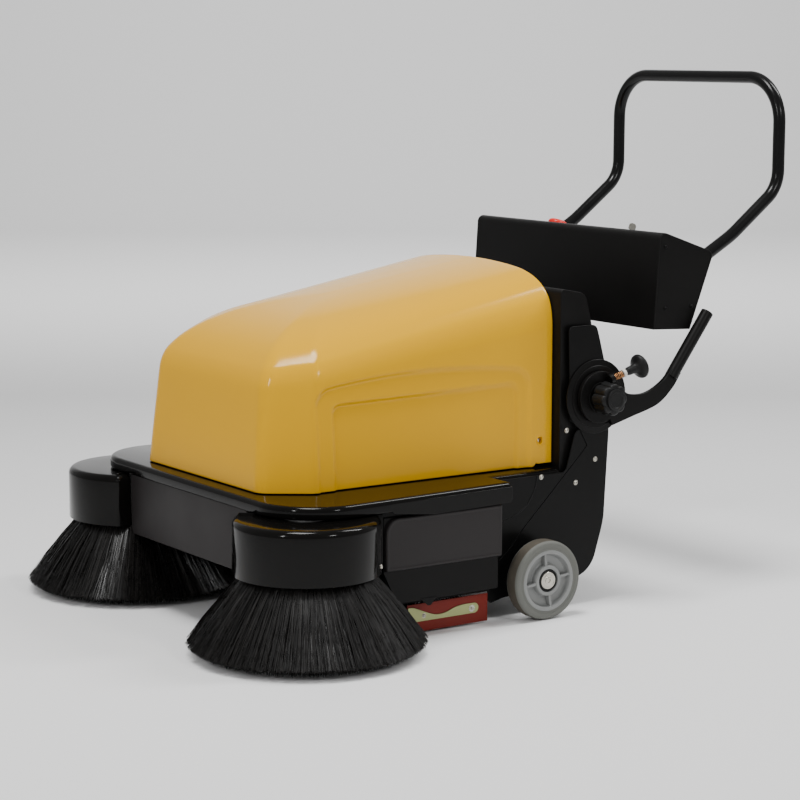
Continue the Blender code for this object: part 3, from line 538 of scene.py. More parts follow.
def hood():
    insets, fronts, rears = (np.array(column) for column in zip(*HOOD_LEVELS))
    # dense where the side is pressed, coarser over the roof
    wall = np.linspace(0, 4, 66)[:-1]
    roof = np.linspace(4, len(insets) - 1, 46)
    at = np.concatenate((wall, roof))
    columns = 230
    share = np.linspace(0, 1, columns)

    def value(table, t):
        """A smooth reading between the levels."""
        low = int(min(max(math.floor(t), 0), len(table) - 2))
        p = [table[min(max(low + i, 0), len(table) - 1)] for i in (-1, 0, 1, 2)]
        u = t - low
        return 0.5 * (2 * p[1] + (p[2] - p[0]) * u + (2 * p[0] - 5 * p[1] + 4 * p[2] - p[3]) * u * u
                      + (3 * p[1] - p[0] - 3 * p[2] + p[3]) * u ** 3)

    mesh = bmesh.new()
    rows = []
    span = HOOD_REAR - HOOD_FRONT
    for t in at:
        inset = float(np.clip(value(insets, t), 0.0, HOOD_HALF - 0.0005))
        low_rise, high_rise = value(fronts, t), value(rears, t)
        left = along_path(hood_plan(inset), share)
        row = []
        for x, y in left:
            z = HOOD_BOTTOM + low_rise + (high_rise - low_rise) * (y - HOOD_FRONT) / span
            x += min(inset, HOOD_DRAFT) * (y - HOOD_FRONT) / span * smooth_step(x, 0.0, 0.03)
            step = smooth_step(y, HOOD_STEP_Y - 0.003, HOOD_STEP_Y + 0.004)
            z = max(z, HOOD_BOTTOM + 0.008 * step)
            if t < 5:
                x -= side_relief(y, z) * smooth_step(x, HOOD_HALF - 0.062, HOOD_HALF - 0.045)
            row.append((x, y, z))
        rows.append(row + [(-x, y, z) for x, y, z in reversed(row[:-1])])
    made = [[mesh.verts.new(point) for point in row] for row in rows]
    bridge(mesh, made, loop=False)
    # the ridge, where the last level's two sides meet
    last = made[-1]
    count = len(last)
    for index in range(count // 2):
        corners = [last[index], last[index + 1], last[count - 2 - index], last[count - 1 - index]]
        if len(set(corners)) > 2:
            mesh.faces.new(list(dict.fromkeys(corners)))
    gone = [f for f in mesh.faces if abs(f.calc_center_median().x) > HOOD_HALF - 0.03 and
            math.hypot(f.calc_center_median().y - HOLE[0], f.calc_center_median().z - HOLE[1])
            < HOLE_RADIUS]
    bmesh.ops.delete(mesh, geom=gone, context="FACES")
    shell = piece("hood_shell", closed(mesh), "yellow_plastic", "hood", ["hood"], sharp=60)
    walled(shell, 0.003, 0.0006)


def hood_fittings():
    x = HOOD_HALF - 0.0004
    cup = [(0, -0.0085), (0.0060, -0.0085), (0.0062, -0.0016), (0.0070, 0.0010),
           (0.0084, 0.0014), (0.0092, 0.0004), (0.0090, -0.0024), (0.0072, -0.0032),
           (0.0070, -0.0095), (0, -0.0095)]
    pair("hood_cup", turned([(r, x + h) for r, h in cup], "X", HOLE, 40), "yellow_plastic", "hood")
    pair("hood_screw", screw_head((x - 0.0068, *HOLE), (1, 0, 0), 0.0038), "zinc_steel", "hood")
    seal = box((-0.250, HOOD_REAR - 0.007, HOOD_BOTTOM + 0.02),
               (-0.246, HOOD_REAR - 0.001, HOOD_BOTTOM + 0.150))
    seal = together([seal, box((0.246, HOOD_REAR - 0.007, HOOD_BOTTOM + 0.02),
                               (0.250, HOOD_REAR - 0.001, HOOD_BOTTOM + 0.150))])
    piece("hood_seal", seal, "belt_rubber", "hood", bevel=0.0008)


# --- deck, covers and sheet metal -----------------------------------------------------------
def rolled_edge(path, low, high, top_radius, bottom_radius, steps=7):
    """Layers of an open path whose upper and lower edges are rolled in."""
    layers = []
    for step in range(4):
        turn = math.pi / 2 * step / 4
        inset = bottom_radius * (1 - math.sin(turn))
        layers.append((offset_path(path, inset), low + bottom_radius * (1 - math.cos(turn))))
    layers.append((path, low + bottom_radius))
    for step in range(steps + 1):
        turn = math.pi / 2 * step / steps
        inset = top_radius * (1 - math.cos(turn))
        layers.append((offset_path(path, inset), high - top_radius * (1 - math.sin(turn))))
    return layered(layers)


def deck():
    low, high = DECK_LOW, DECK_HIGH
    corner_radius = 0.118
    corner = (high.x - corner_radius, low.y + corner_radius)
    shoulder = -0.064
    wide, narrow = 0.364, CHEEK_FACE - 0.0033
    outer_corner = arc((wide - 0.010, shoulder - 0.010), 0.010, 90, -3, 6)
    left = [(narrow, high.y), (narrow, shoulder - 0.0003)] + outer_corner
    left += arc(corner, corner_radius, 0, -90, 40)
    bottom = 0.247
    piece("deck_plate", rolled_edge(mirrored(left), bottom, high.z, 0.0095, 0.003), "gloss_black",
          "chassis", ["deck"], sharp=50)
    # the deeper rear part of the deck's side
    rear = shoulder - 0.002
    outline = rounded([(-0.345, 0.2435, 0.010), (-0.345, 0.262, 0.0), (rear, 0.262, 0.0),
                       (rear, 0.232, 0.008), (-0.250, 0.232, 0.010)], 6)
    rail = prism(outline, "X", 0.3612, 0.3640)
    for vert in rail.verts:
        # it follows the deck's edge, which widens towards the front
        vert.co.x += (shoulder - vert.co.y) * 0.056
    pair("deck_rail", rail, "gloss_black", "chassis", bevel=0.0010)


SHEET = 0.003                # thickness of the sheets on each side
SCREW_TURN = 49.0            # where the screw sits round each brush cover


def brush_covers():
    radius = 0.1325
    x, y = SIDE_BRUSH.x, SIDE_BRUSH.y
    low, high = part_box("brush_cover_left")
    inner_x = 0.220
    side_x = 0.3493
    start = math.degrees(math.acos((inner_x + 0.012 - x) / radius))
    end = math.degrees(math.acos((side_x - x) / radius))
    front = arc((x, y), radius, -start, end, 72)
    corner = [(inner_x, -0.5498), (inner_x, front[0][1] + 0.016)]
    corner += arc((inner_x + 0.009, front[0][1] + 0.013), 0.009, 180, 235, 5)
    path = corner + front
    top_radius = 0.013
    mesh = bmesh.new()
    levels = [(0.0, low.z), (0.0, high.z - top_radius)]
    for step in range(1, 9):
        turn = math.pi / 2 * step / 8
        levels.append((top_radius * (1 - math.cos(turn)),
                       high.z - top_radius * (1 - math.sin(turn))))
    rows = []
    for inset, height in levels:
        rows.append([mesh.verts.new((a, b, height)) for a, b in offset_path(path, -inset)])
    hub_y = -0.455
    for share in (0.5, 0.88):
        rows.append([mesh.verts.new((a + (x - a) * share, b + (hub_y - b) * share, high.z))
                     for a, b in offset_path(path, -top_radius)])
    bridge(mesh, rows, loop=False)
    for shell in pair("brush_cover_shell", closed(mesh), "gloss_black", "chassis", "brush_cover",
                      sharp=60):
        walled(shell, 0.0028, 0.0007)
    turn = math.radians(SCREW_TURN)
    outward = Vector((math.cos(turn), math.sin(turn), 0))
    screw = screw_head(Vector((x, y, 0.1585)) + outward * radius, outward, 0.0042)
    pair("cover_screw", screw, "zinc_steel", "chassis")
    flange = rounded([(0.3494, 0.148, 0.0), (0.3494, 0.243, 0.0), (0.3560, 0.243, 0.004),
                      (0.3560, 0.148, 0.004)], 4)
    pair("cover_flange", prism(flange, "Y", -0.3700, -0.3480), "gloss_black", "chassis",
         bevel=0.0012)


def front_panel():
    refined("front_panel", "chassis", "panel_grey", 0.0016, 3)


def side_skirts():
    plate = rounded([(-0.316, 0.072, 0.003), (-0.090, 0.072, 0.004), (-0.090, 0.2315, 0.0),
                     (-0.345, 0.2315, 0.0), (-0.345, 0.130, 0.004)], 6)
    pair("skirt_plate", prism(plate, "X", 0.3493, 0.3530), "satin_black", "chassis", "side_skirt",
         bevel=0.0010)
    mesh = bmesh.new()
    rows = []
    # the pad's edge rolls over, rises to a low rim and drops to its flat face
    for inset, x in ((0.0, 0.3525), (0.0006, 0.3560), (0.0014, 0.3583), (0.0028, 0.3599),
                     (0.0044, 0.3605), (0.0058, 0.3604), (0.0074, 0.3599), (0.0095, 0.3598)):
        low_y, high_y = -0.345 + inset, -0.0845 - inset
        low_z, high_z = 0.1325 + inset, 0.2315 - inset
        soft = max(0.0010, 0.0050 - inset)
        pad = rounded([(low_y, low_z, soft), (high_y, low_z, soft), (high_y, high_z, soft),
                       (low_y, high_z, 0.030 - inset)], 12)
        rows.append([mesh.verts.new((x, a, b)) for a, b in pad])
    bridge(mesh, rows)
    mesh.faces.new(rows[0])
    mesh.faces.new(rows[-1])
    pair("skirt_pad", closed(mesh), "panel_grey", "chassis", sharp=60)


def side_sheets():
    """The two sheets on each side, with the pressed arc of the wheel arch."""
    panel = rounded([(-0.0745, 0.102, 0.0), (-0.050, 0.109, 0.02), (-0.020, 0.134, 0.03),
                     (0.007, 0.164, 0.05), (0.147, 0.297, 0.010), (0.158, 0.309, 0.002),
                     (0.139, 0.343, 0.003), (0.129, 0.334, 0.010), (0.108, 0.262, 0.012),
                     (-0.0637, 0.262, 0.003), (-0.0637, 0.2464, 0.0), (-0.0745, 0.2464, 0.0)])
    cheek = rounded([(0.112, 0.540, 0.010), (0.179, 0.540, 0.014), (0.186, 0.518, 0.030),
                     (0.210, 0.430, 0.080), (0.212, 0.330, 0.30), (0.202, 0.160, 0.14),
                     (0.172, 0.062, 0.060), (0.100, 0.046, 0.060), (-0.040, 0.036, 0.010),
                     (-0.0745, 0.028, 0.008), (-0.0745, 0.1010, 0.0), (-0.0495, 0.1082, 0.02),
                     (-0.0193, 0.1332, 0.03), (0.0077, 0.1632, 0.05), (0.1477, 0.2962, 0.010),
                     (0.1592, 0.3090, 0.002), (0.1393, 0.3445, 0.003), (0.118, 0.360, 0.0)], 12)
    for name, outline, node in (("side_sheet", panel, "side_panel"),
                                ("cheek_sheet", cheek, "cheek_plate")):
        pair(name, prism(outline, "X", CHEEK_FACE - SHEET, CHEEK_FACE), "steel_black", "chassis",
             node, bevel=0.0009)
    rib = smooth_curve([(0.039, 0.262), (0.033, 0.236), (0.012, 0.205), (-0.020, 0.189),
                        (-0.062, 0.180)], 8)
    bead = [(CHEEK_FACE - 0.0006, p.x, p.y) for p in rib]
    pair("arch_bead", swept(bead, 0.0017, 10), "steel_black", "chassis")
    places = ((0.109, 0.342), (0.159, 0.350), (0.049, 0.258), (0.179, 0.280), (0.132, 0.239))
    heads = [screw_head((CHEEK_FACE + 0.0004, y, z), (1, 0, 0), 0.0038) for y, z in places]
    pair("side_screws", together(heads), "zinc_steel", "chassis")


def rear_housing():
    refined("rear_housing", "chassis", "satin_black", 0.0025, 4)
    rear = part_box("rear_housing")[1].y
    slots = []
    for row in range(6):
        z = 0.300 + row * 0.020
        slots.append(box((-0.110, rear - 0.0055, z), (0.110, rear + 0.0008, z + 0.007)))
    piece("rear_vent_bars", together(slots), "satin_black", "chassis", bevel=0.0016)
    heads = [screw_head((way * 0.262, rear - 0.0015, z), (0, 1, 0), 0.0038)
             for way in (1, -1) for z in (0.275, 0.360, 0.440)]
    piece("rear_screws", together(heads), "zinc_steel", "chassis")


# --- wheels ---------------------------------------------------------------------------------
def wheels():
    low, high = (corner.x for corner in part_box("tyre_left"))
    centre = (WHEEL.y, WHEEL.z)
    r = WHEEL_R
    quarter = np.linspace(0, math.pi / 2, 6)
    crown = [(0.0578, low + 0.0004), (0.0680, low)]
    crown += [(r - 0.0064 + 0.006 * math.sin(t), low + 0.006 - 0.006 * math.cos(t))
              for t in quarter]
    crown += [(r - 0.0064 + 0.006 * math.cos(t), high - 0.006 + 0.006 * math.sin(t))
              for t in quarter]
    crown += [(0.0680, high), (0.0640, high - 0.0002), (0.0630, high - 0.0008),
              (0.0618, high - 0.0008), (0.0608, high - 0.0002), (0.0578, high - 0.0006)]
    pair("tyre_ring", turned(crown, "X", centre, 128), "tyre_grey", "wheel_{}", "tyre", sharp=40)
    tread = [(r - 0.0010, low + 0.0055), (r - 0.0002, low + 0.0062), (r, low + 0.0075),
             (r, high - 0.0075), (r - 0.0002, high - 0.0062), (r - 0.0010, high - 0.0055)]
    pair("tyre_tread", turned(tread, "X", centre, 128), None, "wheel_{}", material=TREAD, sharp=40)
    web = [(0.0102, low - 0.003), (0.0285, low - 0.003), (0.0285, low + 0.012),
           (0.0500, low + 0.012), (0.0500, low), (0.0577, low), (0.0577, high - 0.0004),
           (0.0560, high), (0.0525, high), (0.0508, high - 0.0008), (0.0500, high - 0.0030),
           (0.0485, high - 0.0095), (0.0465, high - 0.0115), (0.0330, high - 0.0130),
           (0.0305, high - 0.0115), (0.0292, high - 0.0030), (0.0284, high - 0.0008),
           (0.0272, high), (0.0232, high), (0.0222, high - 0.0006), (0.0218, high - 0.0040),
           (0.0102, high - 0.0045)]
    rim = [turned(web, "X", centre, 128)]
    for turn in (8, 98, 188, 278):
        rib = rounded([(0.026, -0.0026, 0.0012), (0.052, -0.0020, 0.0), (0.052, 0.0020, 0.0),
                       (0.026, 0.0026, 0.0012)], 3)
        bar = prism(rib, "X", high - 0.0135, high - 0.0018)
        rim.append(moved(bar, Matrix.Translation((0, *centre))
                         @ Matrix.Rotation(math.radians(turn), 4, "X")))
    pair("rim", together(rim), "rim_grey", "wheel_{}", "wheel_rim", sharp=32)
    face = high - 0.0036
    # a thin near-black ring laid in the rim's recess round the bore: painted shade for that hollow,
    # not a part
    seal = turned([(0.0166, face - 0.0007), (0.0216, face - 0.0007), (0.0216, face + 0.0006),
                   (0.0166, face + 0.0002)], "X", centre, 72)
    pair("bore_shade_ring", seal, None, "wheel_{}", material=BORE_SHADE)
    bolt = [(0, 0.2925), (0.0098, 0.2925), (0.0098, face), (0.0158, face),
            (0.0162, face + 0.0005), (0.0162, high - 0.0011), (0.0156, high - 0.0004),
            (0.0135, high - 0.0003), (0.0128, high - 0.0008), (0.0118, high - 0.0008),
            (0.0112, high - 0.0003), (0.0078, high - 0.0002), (0.0074, high + 0.0007),
            (0.0060, high + 0.0010), (0.0040, high + 0.0010), (0.0034, high - 0.0006),
            (0, high - 0.0006)]
    pair("axle_washer", turned(bolt, "X", centre, 72), "zinc_steel", "chassis", "axle_bolt",
         sharp=32)


def castor():
    refined("castor_beam", "chassis", "steel_black", 0.0020, 3)
    refined("castor_plate", "chassis", "zinc_steel", 0.0012, 3)
    refined("castor_fork", "castor_swivel", "zinc_steel", 0.0009, 3, 25)
    y, z = CASTOR.y, CASTOR.z
    r = (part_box("castor_wheel")[1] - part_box("castor_wheel")[0]).z / 2
    half = [(0.0065, 0.0155), (0.0120, 0.0155), (0.0125, 0.0120), (0.0190, 0.0120),
            (0.0200, 0.0100), (0.0330, 0.0100), (0.0340, 0.0120), (0.0352, 0.0140),
            (0.0440, 0.0140), (r - 0.0045, 0.0128), (r - 0.0018, 0.0102), (r - 0.0003, 0.0062),
            (r, 0.0)]
    profile = half + [(radius, -height) for radius, height in reversed(half[:-1])]
    piece("castor_roller", turned(profile, "X", (y, z), 96), "tyre_grey", "castor_roller",
          ["castor_wheel"], sharp=32)
    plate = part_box("castor_plate")
    heads = [screw_head((x, b, plate[0].z - 0.0002), (0, 0, -1), 0.0040)
             for x in (-0.032, 0.032) for b in (plate[0].y + 0.008, plate[1].y - 0.008)]
    piece("castor_screws", together(heads), "zinc_steel", "chassis")


# --- brushes --------------------------------------------------------------------------------
def strands(roots, middles, tips, thickness, sides=3):
    """Many tapering filaments, each bent through a middle point, as one mesh."""
    shares = np.array([0.0, 0.34, 0.68, 1.0])
    widths = np.array([1.0, 1.0, 0.9, 0.55]) * thickness
    count = len(roots)
    t = shares[None, :, None]
    line = (roots[:, None] * (1 - t) ** 2 + middles[:, None] * 2 * t * (1 - t)
            + tips[:, None] * t * t)
    ahead = tips - roots
    ahead /= np.linalg.norm(ahead, axis=1, keepdims=True)
    side = np.cross(ahead, np.array([0.31, 0.17, 0.93]))
    side /= np.linalg.norm(side, axis=1, keepdims=True)
    up = np.cross(ahead, side)
    turns = 2 * np.pi * np.arange(sides) / sides
    ring = (side[:, None, None] * np.cos(turns)[None, None, :, None]
            + up[:, None, None] * np.sin(turns)[None, None, :, None])
    verts = line[:, :, None] + ring * widths[None, :, None, None]
    levels = len(shares)
    one = []
    for level in range(levels - 1):
        for step in range(sides):
            after = (step + 1) % sides
            one.append((level * sides + step, level * sides + after,
                        (level + 1) * sides + after, (level + 1) * sides + step))
    offsets = (np.arange(count) * levels * sides)[:, None, None]
    quads = (np.array(one)[None] + offsets).reshape(-1, 4)
    first = np.arange(sides)[::-1]
    last = (levels - 1) * sides + np.arange(sides)
    caps = (np.stack([first, last])[None] + offsets).reshape(-1, sides)
    data = bpy.data.meshes.new("strands")
    data.from_pydata(verts.reshape(-1, 3).tolist(), [], quads.tolist() + caps.tolist())
    return data


def as_mesh(data, core):
    """The strands and the solid mass behind them as one mesh."""
    mesh = bmesh.new()
    mesh.from_mesh(data)
    bpy.data.meshes.remove(data)
    return together([mesh, core])


# each ring of a side brush: its radius, its tufts, their filaments, and how far those spread
BRUSH_RINGS = ((0.1133, 74, 32, 0.72, 1.00), (0.104, 52, 44, 0.84, 1.00),
               (0.095, 44, 34, 0.60, 0.90), (0.084, 36, 26, 0.30, 0.68),
               (0.072, 30, 18, 0.0, 0.40))
INNER_SPREAD = 0.158         # radius at the floor of the filaments that spread least
PAST_CAD = 0.0060            # how far the longest filaments reach past the CAD's ring
FILAMENT = 0.00062           # radius of a side brush's filament


def side_brushes():
    low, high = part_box("side_brush_bristles_left")
    reach = (high.x - low.x) / 2
    top = high.z
    centre = (SIDE_BRUSH.x, SIDE_BRUSH.y)
    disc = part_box("side_brush_disc_left")
    disc_r = (disc[1].x - disc[0].x) / 2
    for number, (way, side) in enumerate(SIDES):
        rng = np.random.default_rng(7 + number)
        roots, middles, tips = [], [], []
        for radius, tufts, count, near, far in BRUSH_RINGS:
            # some rings start half a tuft round from their neighbours
            stagger = 0.5 if tufts % 4 == 2 else 0.0
            turn = 2 * np.pi * (np.arange(tufts)[:, None] + stagger) / tufts
            angle = (turn + rng.normal(0, 0.026, (tufts, count))).ravel()
            tip_angle = angle + rng.normal(0, 0.030, angle.shape)
            share = rng.uniform(near, far, angle.shape)
            root_r = radius + rng.normal(0, 0.0022, angle.shape)
            # the outermost tufts stand in the disc's rim and hide its edge
            rim = radius > disc_r
            root_r = np.maximum(root_r, disc_r + 0.0008) if rim else np.minimum(root_r, 0.1085)
            root_z = top + 0.0158 if rim else top - 0.0005
            # the outer filaments spread widest and end a little above the floor
            tip_r = (INNER_SPREAD + (reach + PAST_CAD - INNER_SPREAD) * share
                     - rng.exponential(0.0045, angle.shape))
            tip_z = (low.z + 0.0006 + 0.0165 * np.clip(share - 0.55, 0, 1) / 0.45
                     + rng.uniform(0, 0.004, angle.shape))
            cs, sn = np.cos(angle), np.sin(angle)
            tcs, tsn = np.cos(tip_angle), np.sin(tip_angle)
            roots.append(np.stack([root_r * cs, root_r * sn, np.full(angle.shape, root_z)], 1))
            tips.append(np.stack([tip_r * tcs, tip_r * tsn, tip_z], 1))
            mid_r = root_r + (tip_r - root_r) * 0.56
            mid_z = root_z + (tip_z - root_z) * 0.47
            middles.append(np.stack([mid_r * (cs + tcs) / 2, mid_r * (sn + tsn) / 2, mid_z], 1))
        shift = np.array([*centre, 0.0])
        data = strands(*(np.concatenate(part) + shift for part in (roots, middles, tips)),
                       FILAMENT)
        core = turned([(0.062, top), (0.096, top), (0.174, 0.022), (0.166, 0.0125),
                       (0.146, 0.0105)], "Z", centre, 72)
        piece(f"side_bristles_{side}", on_side(as_mesh(data, core), way), "bristle_black",
              f"side_brush_{side}", [f"side_brush_bristles_{side}"], sharp=80)
        refined(f"side_brush_motor_{side}", "chassis", "motor_grey", 0.0010, 2, 25)
    plate = [(0.0085, disc[0].z), (0.030, disc[0].z), (0.0302, 0.1280), (0.110, 0.1280),
             (0.112, 0.1292), (0.112, 0.1368), (0.1105, 0.1388), (0.100, disc[1].z - 0.0006),
             (0.098, disc[1].z), (0.0085, disc[1].z)]
    pair("side_brush_plate", turned(plate, "Z", centre, 96), "satin_black", "side_brush_{}",
         "side_brush_disc", sharp=32)


def main_brush():
    low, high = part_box("main_brush_bristles")
    y, z = MAIN_BRUSH.y, MAIN_BRUSH.z
    reach = (high.z - low.z) / 2
    rng = np.random.default_rng(3)
    rows, tufts, count = 10, 46, 8
    x0 = np.linspace(low.x + 0.008, high.x - 0.008, tufts)
    roots, middles, tips = [], [], []
    for row in range(rows):
        # each row runs as a shallow V
        base = 2 * np.pi * row / rows + 1.1 * np.abs(x0) / high.x
        angle = (base[:, None] + rng.normal(0, 0.030, (tufts, count))).ravel()
        x = (x0[:, None] + rng.normal(0, 0.0016, (tufts, count))).ravel()
        lean = rng.normal(0, 0.025, angle.shape)
        x_tip = np.clip(x + rng.normal(0, 0.003, angle.shape), low.x + 0.0005, high.x - 0.0005)
        length = reach - 0.0006 - rng.exponential(0.0010, angle.shape)
        for group, radius, bend, place in ((roots, 0.046, 0.0, x), (middles, 0.080, 0.3, x),
                                           (tips, None, 1.0, x_tip)):
            r = length if radius is None else radius
            a = angle + lean * bend
            group.append(np.stack([place, y + r * np.cos(a), z + r * np.sin(a)], 1))
    data = strands(*(np.concatenate(part) for part in (roots, middles, tips)), 0.00085)
    core = turned([(0.0455, low.x), (0.0540, low.x + 0.001), (0.0540, high.x - 0.001),
                   (0.0455, high.x)], "X", (y, z), 64)
    piece("main_bristles", as_mesh(data, core), "bristle_black", "main_brush",
          ["main_brush_bristles"], sharp=80)
    refined("main_brush_core", "main_brush", "satin_black", 0.0012, 3, 30)


def drive():
    for node, body in (("brush_pulley", "main_brush"), ("motor_pulley", "drive_pulley")):
        refined(node, body, "motor_grey", 0.0008, 2, 30)
    refined("drive_belt", "chassis", "belt_rubber", 0.0008, 2, 30)
    refined("brush_motor", "chassis", "motor_grey", 0.0012, 3, 30)
    for side in ("left", "right"):
        refined(f"brush_end_plate_{side}", "chassis", "steel_black", 0.0010, 2)
    refined("chassis_frame", "chassis", "steel_black", 0.0007, 2)


def flaps():
    for side in ("left", "right"):
        refined(f"side_flap_{side}", "chassis", "flap_red", 0.0007, 2)
    wave = smooth_curve([(-0.271, 0.051), (-0.258, 0.050), (-0.236, 0.041), (-0.216, 0.0335),
                         (-0.202, 0.0315), (-0.186, 0.0330), (-0.166, 0.0395), (-0.148, 0.0420),
                         (-0.122, 0.0420)], 6)
    outline = [(-0.271, 0.023)] + arc((-0.122, 0.0325), 0.0095, -90, 90, 16)
    outline += [(p.x, p.y) for p in reversed(wave)][1:]
    pair("clamp_strip", prism(outline, "X", 0.3208, 0.3228), "strip_zinc", "chassis",
         "flap_strip", bevel=0.0005)
    star = []
    for step in range(40):
        turn = 2 * math.pi * step / 40
        r = 0.0062 + 0.0010 * math.cos(10 * turn)
        star.append((-0.128 + r * math.cos(turn), 0.0325 + r * math.sin(turn)))
    washer = together([prism(star, "X", 0.3226, 0.3236),
                       screw_head((0.3239, -0.128, 0.0325), (1, 0, 0), 0.0036),
                       screw_head((0.3231, -0.236, 0.0330), (1, 0, 0), 0.0034)])
    pair("strip_screws", washer, "zinc_steel", "chassis")
    tab = prism([(-0.265, 0.0745), (-0.249, 0.0600), (-0.243, 0.0600), (-0.227, 0.0745)], "X",
                0.3532, 0.3545)
    pair("flap_tab", tab, "satin_black", "chassis", bevel=0.0004)


def dustbin():
    refined("dustbin", "bin", "satin_black", 0.0018, 3)
    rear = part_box("dustbin")[1].y - 0.014
    pads = [box((x - 0.035, rear - 0.006, 0.150), (x + 0.035, rear + 0.0006, 0.215))
            for x in (0.205, -0.205)]
    ribs = [box((-0.250 + 0.125 * i - 0.004, rear - 0.012, 0.118),
                (-0.250 + 0.125 * i + 0.004, rear - 0.0005, 0.232)) for i in range(5)]
    piece("bin_pads", together(pads), "satin_black", "bin", bevel=0.0020)
    piece("bin_ribs", together(ribs), "satin_black", "bin", bevel=0.0016)


# --- power ----------------------------------------------------------------------------------
def power():
    for side in ("left", "right"):
        refined(f"battery_{side}", "chassis", "battery_case", 0.0025, 3)
        low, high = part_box(f"battery_{side}")
        mid = (low + high) / 2
        top = high.z + 0.003
        lid = box((low.x + 0.004, low.y + 0.004, high.z - 0.0002),
                  (high.x - 0.004, high.y - 0.004, high.z + 0.0035))
        piece(f"battery_lid_{side}", lid, "battery_case", "chassis", bevel=0.0015)
        post = [(0, top), (0.009, top), (0.009, top + 0.003), (0.006, top + 0.003),
                (0.0055, top + 0.012), (0, top + 0.012)]
        posts = [turned(post, "Z", (mid.x + 0.050 * end, high.y - 0.030), 32) for end in (-1, 1)]
        piece(f"battery_posts_{side}", together(posts), "zinc_steel", "chassis", sharp=35)
        strap = smooth_curve([(mid.x + across, mid.y, top + rise) for across, rise in
                              ((-0.078, 0), (-0.060, 0.009), (0, 0.012), (0.060, 0.009),
                               (0.078, 0))], 8)
        piece(f"battery_grip_{side}", swept(strap, 0.0045, 16), None, "chassis", material=BLUE)
        cap = [(0, top), (0.0085, top), (0.0080, top + 0.0035), (0, top + 0.0040)]
        caps = [turned(cap, "Z", (low.x + 0.024 + 0.024 * i, low.y + 0.045), 24)
                for i in range(6)]
        piece(f"battery_caps_{side}", together(caps), "knob_black", "chassis", sharp=35)
    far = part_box("battery_left")[1]
    top, y = far.z + 0.0145, far.y - 0.030
    reach = middle("battery_left").x - 0.042
    link = box((-reach, y - 0.009, top), (reach, y + 0.009, top + 0.003))
    piece("battery_link", link, "zinc_steel", "chassis", bevel=0.0006)
    refined("fan_motor", "chassis", "motor_grey", 0.0014, 3, 30)
    fan = middle("fan_motor")
    fins = []
    for index in range(24):
        turn = math.radians(15 * index)
        fin = box((0.0535, -0.0011, 0.352), (0.0600, 0.0011, 0.414))
        fins.append(moved(fin, Matrix.Translation((fan.x, fan.y, 0))
                          @ Matrix.Rotation(turn, 4, "Z")))
    piece("fan_fins", together(fins), "motor_grey", "chassis", bevel=0.0005)
    low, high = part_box("filter_panel")
    pleats = [(low.x + 0.004, low.y + 0.006)]
    count = 62
    for index in range(count + 1):
        x = low.x + 0.004 + (high.x - low.x - 0.008) * index / count
        pleats.append((x, high.y - (0.004 if index % 2 else 0.016)))
    pleats.append((high.x - 0.004, low.y + 0.006))
    piece("filter_pleats", prism(pleats, "Z", low.z + 0.006, high.z - 0.006), "filter_paper",
          "chassis", ["filter_panel"], sharp=20)
    bars = [box((low.x, low.y, low.z), (high.x, high.y, low.z + 0.008)),
            box((low.x, low.y, high.z - 0.008), (high.x, high.y, high.z)),
            box((low.x, low.y, low.z + 0.004), (low.x + 0.006, high.y, high.z - 0.004)),
            box((high.x - 0.006, low.y, low.z + 0.004), (high.x, high.y, high.z - 0.004))]
    piece("filter_frame", together(bars), "satin_black", "chassis", bevel=0.0008)


# --- handle ---------------------------------------------------------------------------------
def holed(outline, hole, axis, low, high):
    """An outline with a hole through it, extruded along an axis."""
    mesh = bmesh.new()
    edges = []
    for loop in (outline, hole):
        verts = [mesh.verts.new(spread_out(axis, pair, low)) for pair in loop]
        edges += [mesh.edges.new((verts[i - 1], verts[i])) for i in range(len(verts))]
    bmesh.ops.triangle_fill(mesh, use_beauty=True, edges=edges)
    solid = bmesh.ops.extrude_face_region(mesh, geom=mesh.faces[:])
    far = [item for item in solid["geom"] if isinstance(item, bmesh.types.BMVert)]
    bmesh.ops.translate(mesh, vec=spread_out(axis, (0, 0), high - low), verts=far)
    return closed(mesh)


def bent_path(corners, steps=14):
    """A path through corners (point, bend radius) with each bend as an arc."""
    points = []
    for index, (corner, radius) in enumerate(corners):
        here = Vector(corner)
        if radius == 0:
            points.append(here)
            continue
        back = (Vector(corners[index - 1][0]) - here).normalized()
        ahead = (Vector(corners[index + 1][0]) - here).normalized()
        half = back.angle(ahead) / 2
        centre = here + (back + ahead).normalized() * (radius / math.sin(half))
        first = here + back * (radius / math.tan(half)) - centre
        last = here + ahead * (radius / math.tan(half)) - centre
        axis = first.cross(last).normalized()
        sweep = first.angle(last)
        for step in range(steps + 1):
            points.append(centre + Matrix.Rotation(sweep * step / steps, 3, axis) @ first)
    return points


def index_plates():
    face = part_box("index_plate_left")[0].x
    profile = [(0, face), (0.0710, face), (0.0715, face + 0.0005), (0.0715, face + 0.0025),
               (0.0708, face + 0.0031), (0.0625, face + 0.0038), (0.0600, face + 0.0042),
               (0.0600, face + 0.0055), (0.0593, face + 0.0062), (0.0060, face + 0.0062),
               (0.0060, 0.3186), (0, 0.3186)]
    pair("index_disc", turned(profile, "X", (PIVOT.y, PIVOT.z), 128), "satin_black", "chassis",
         "index_plate", sharp=32)


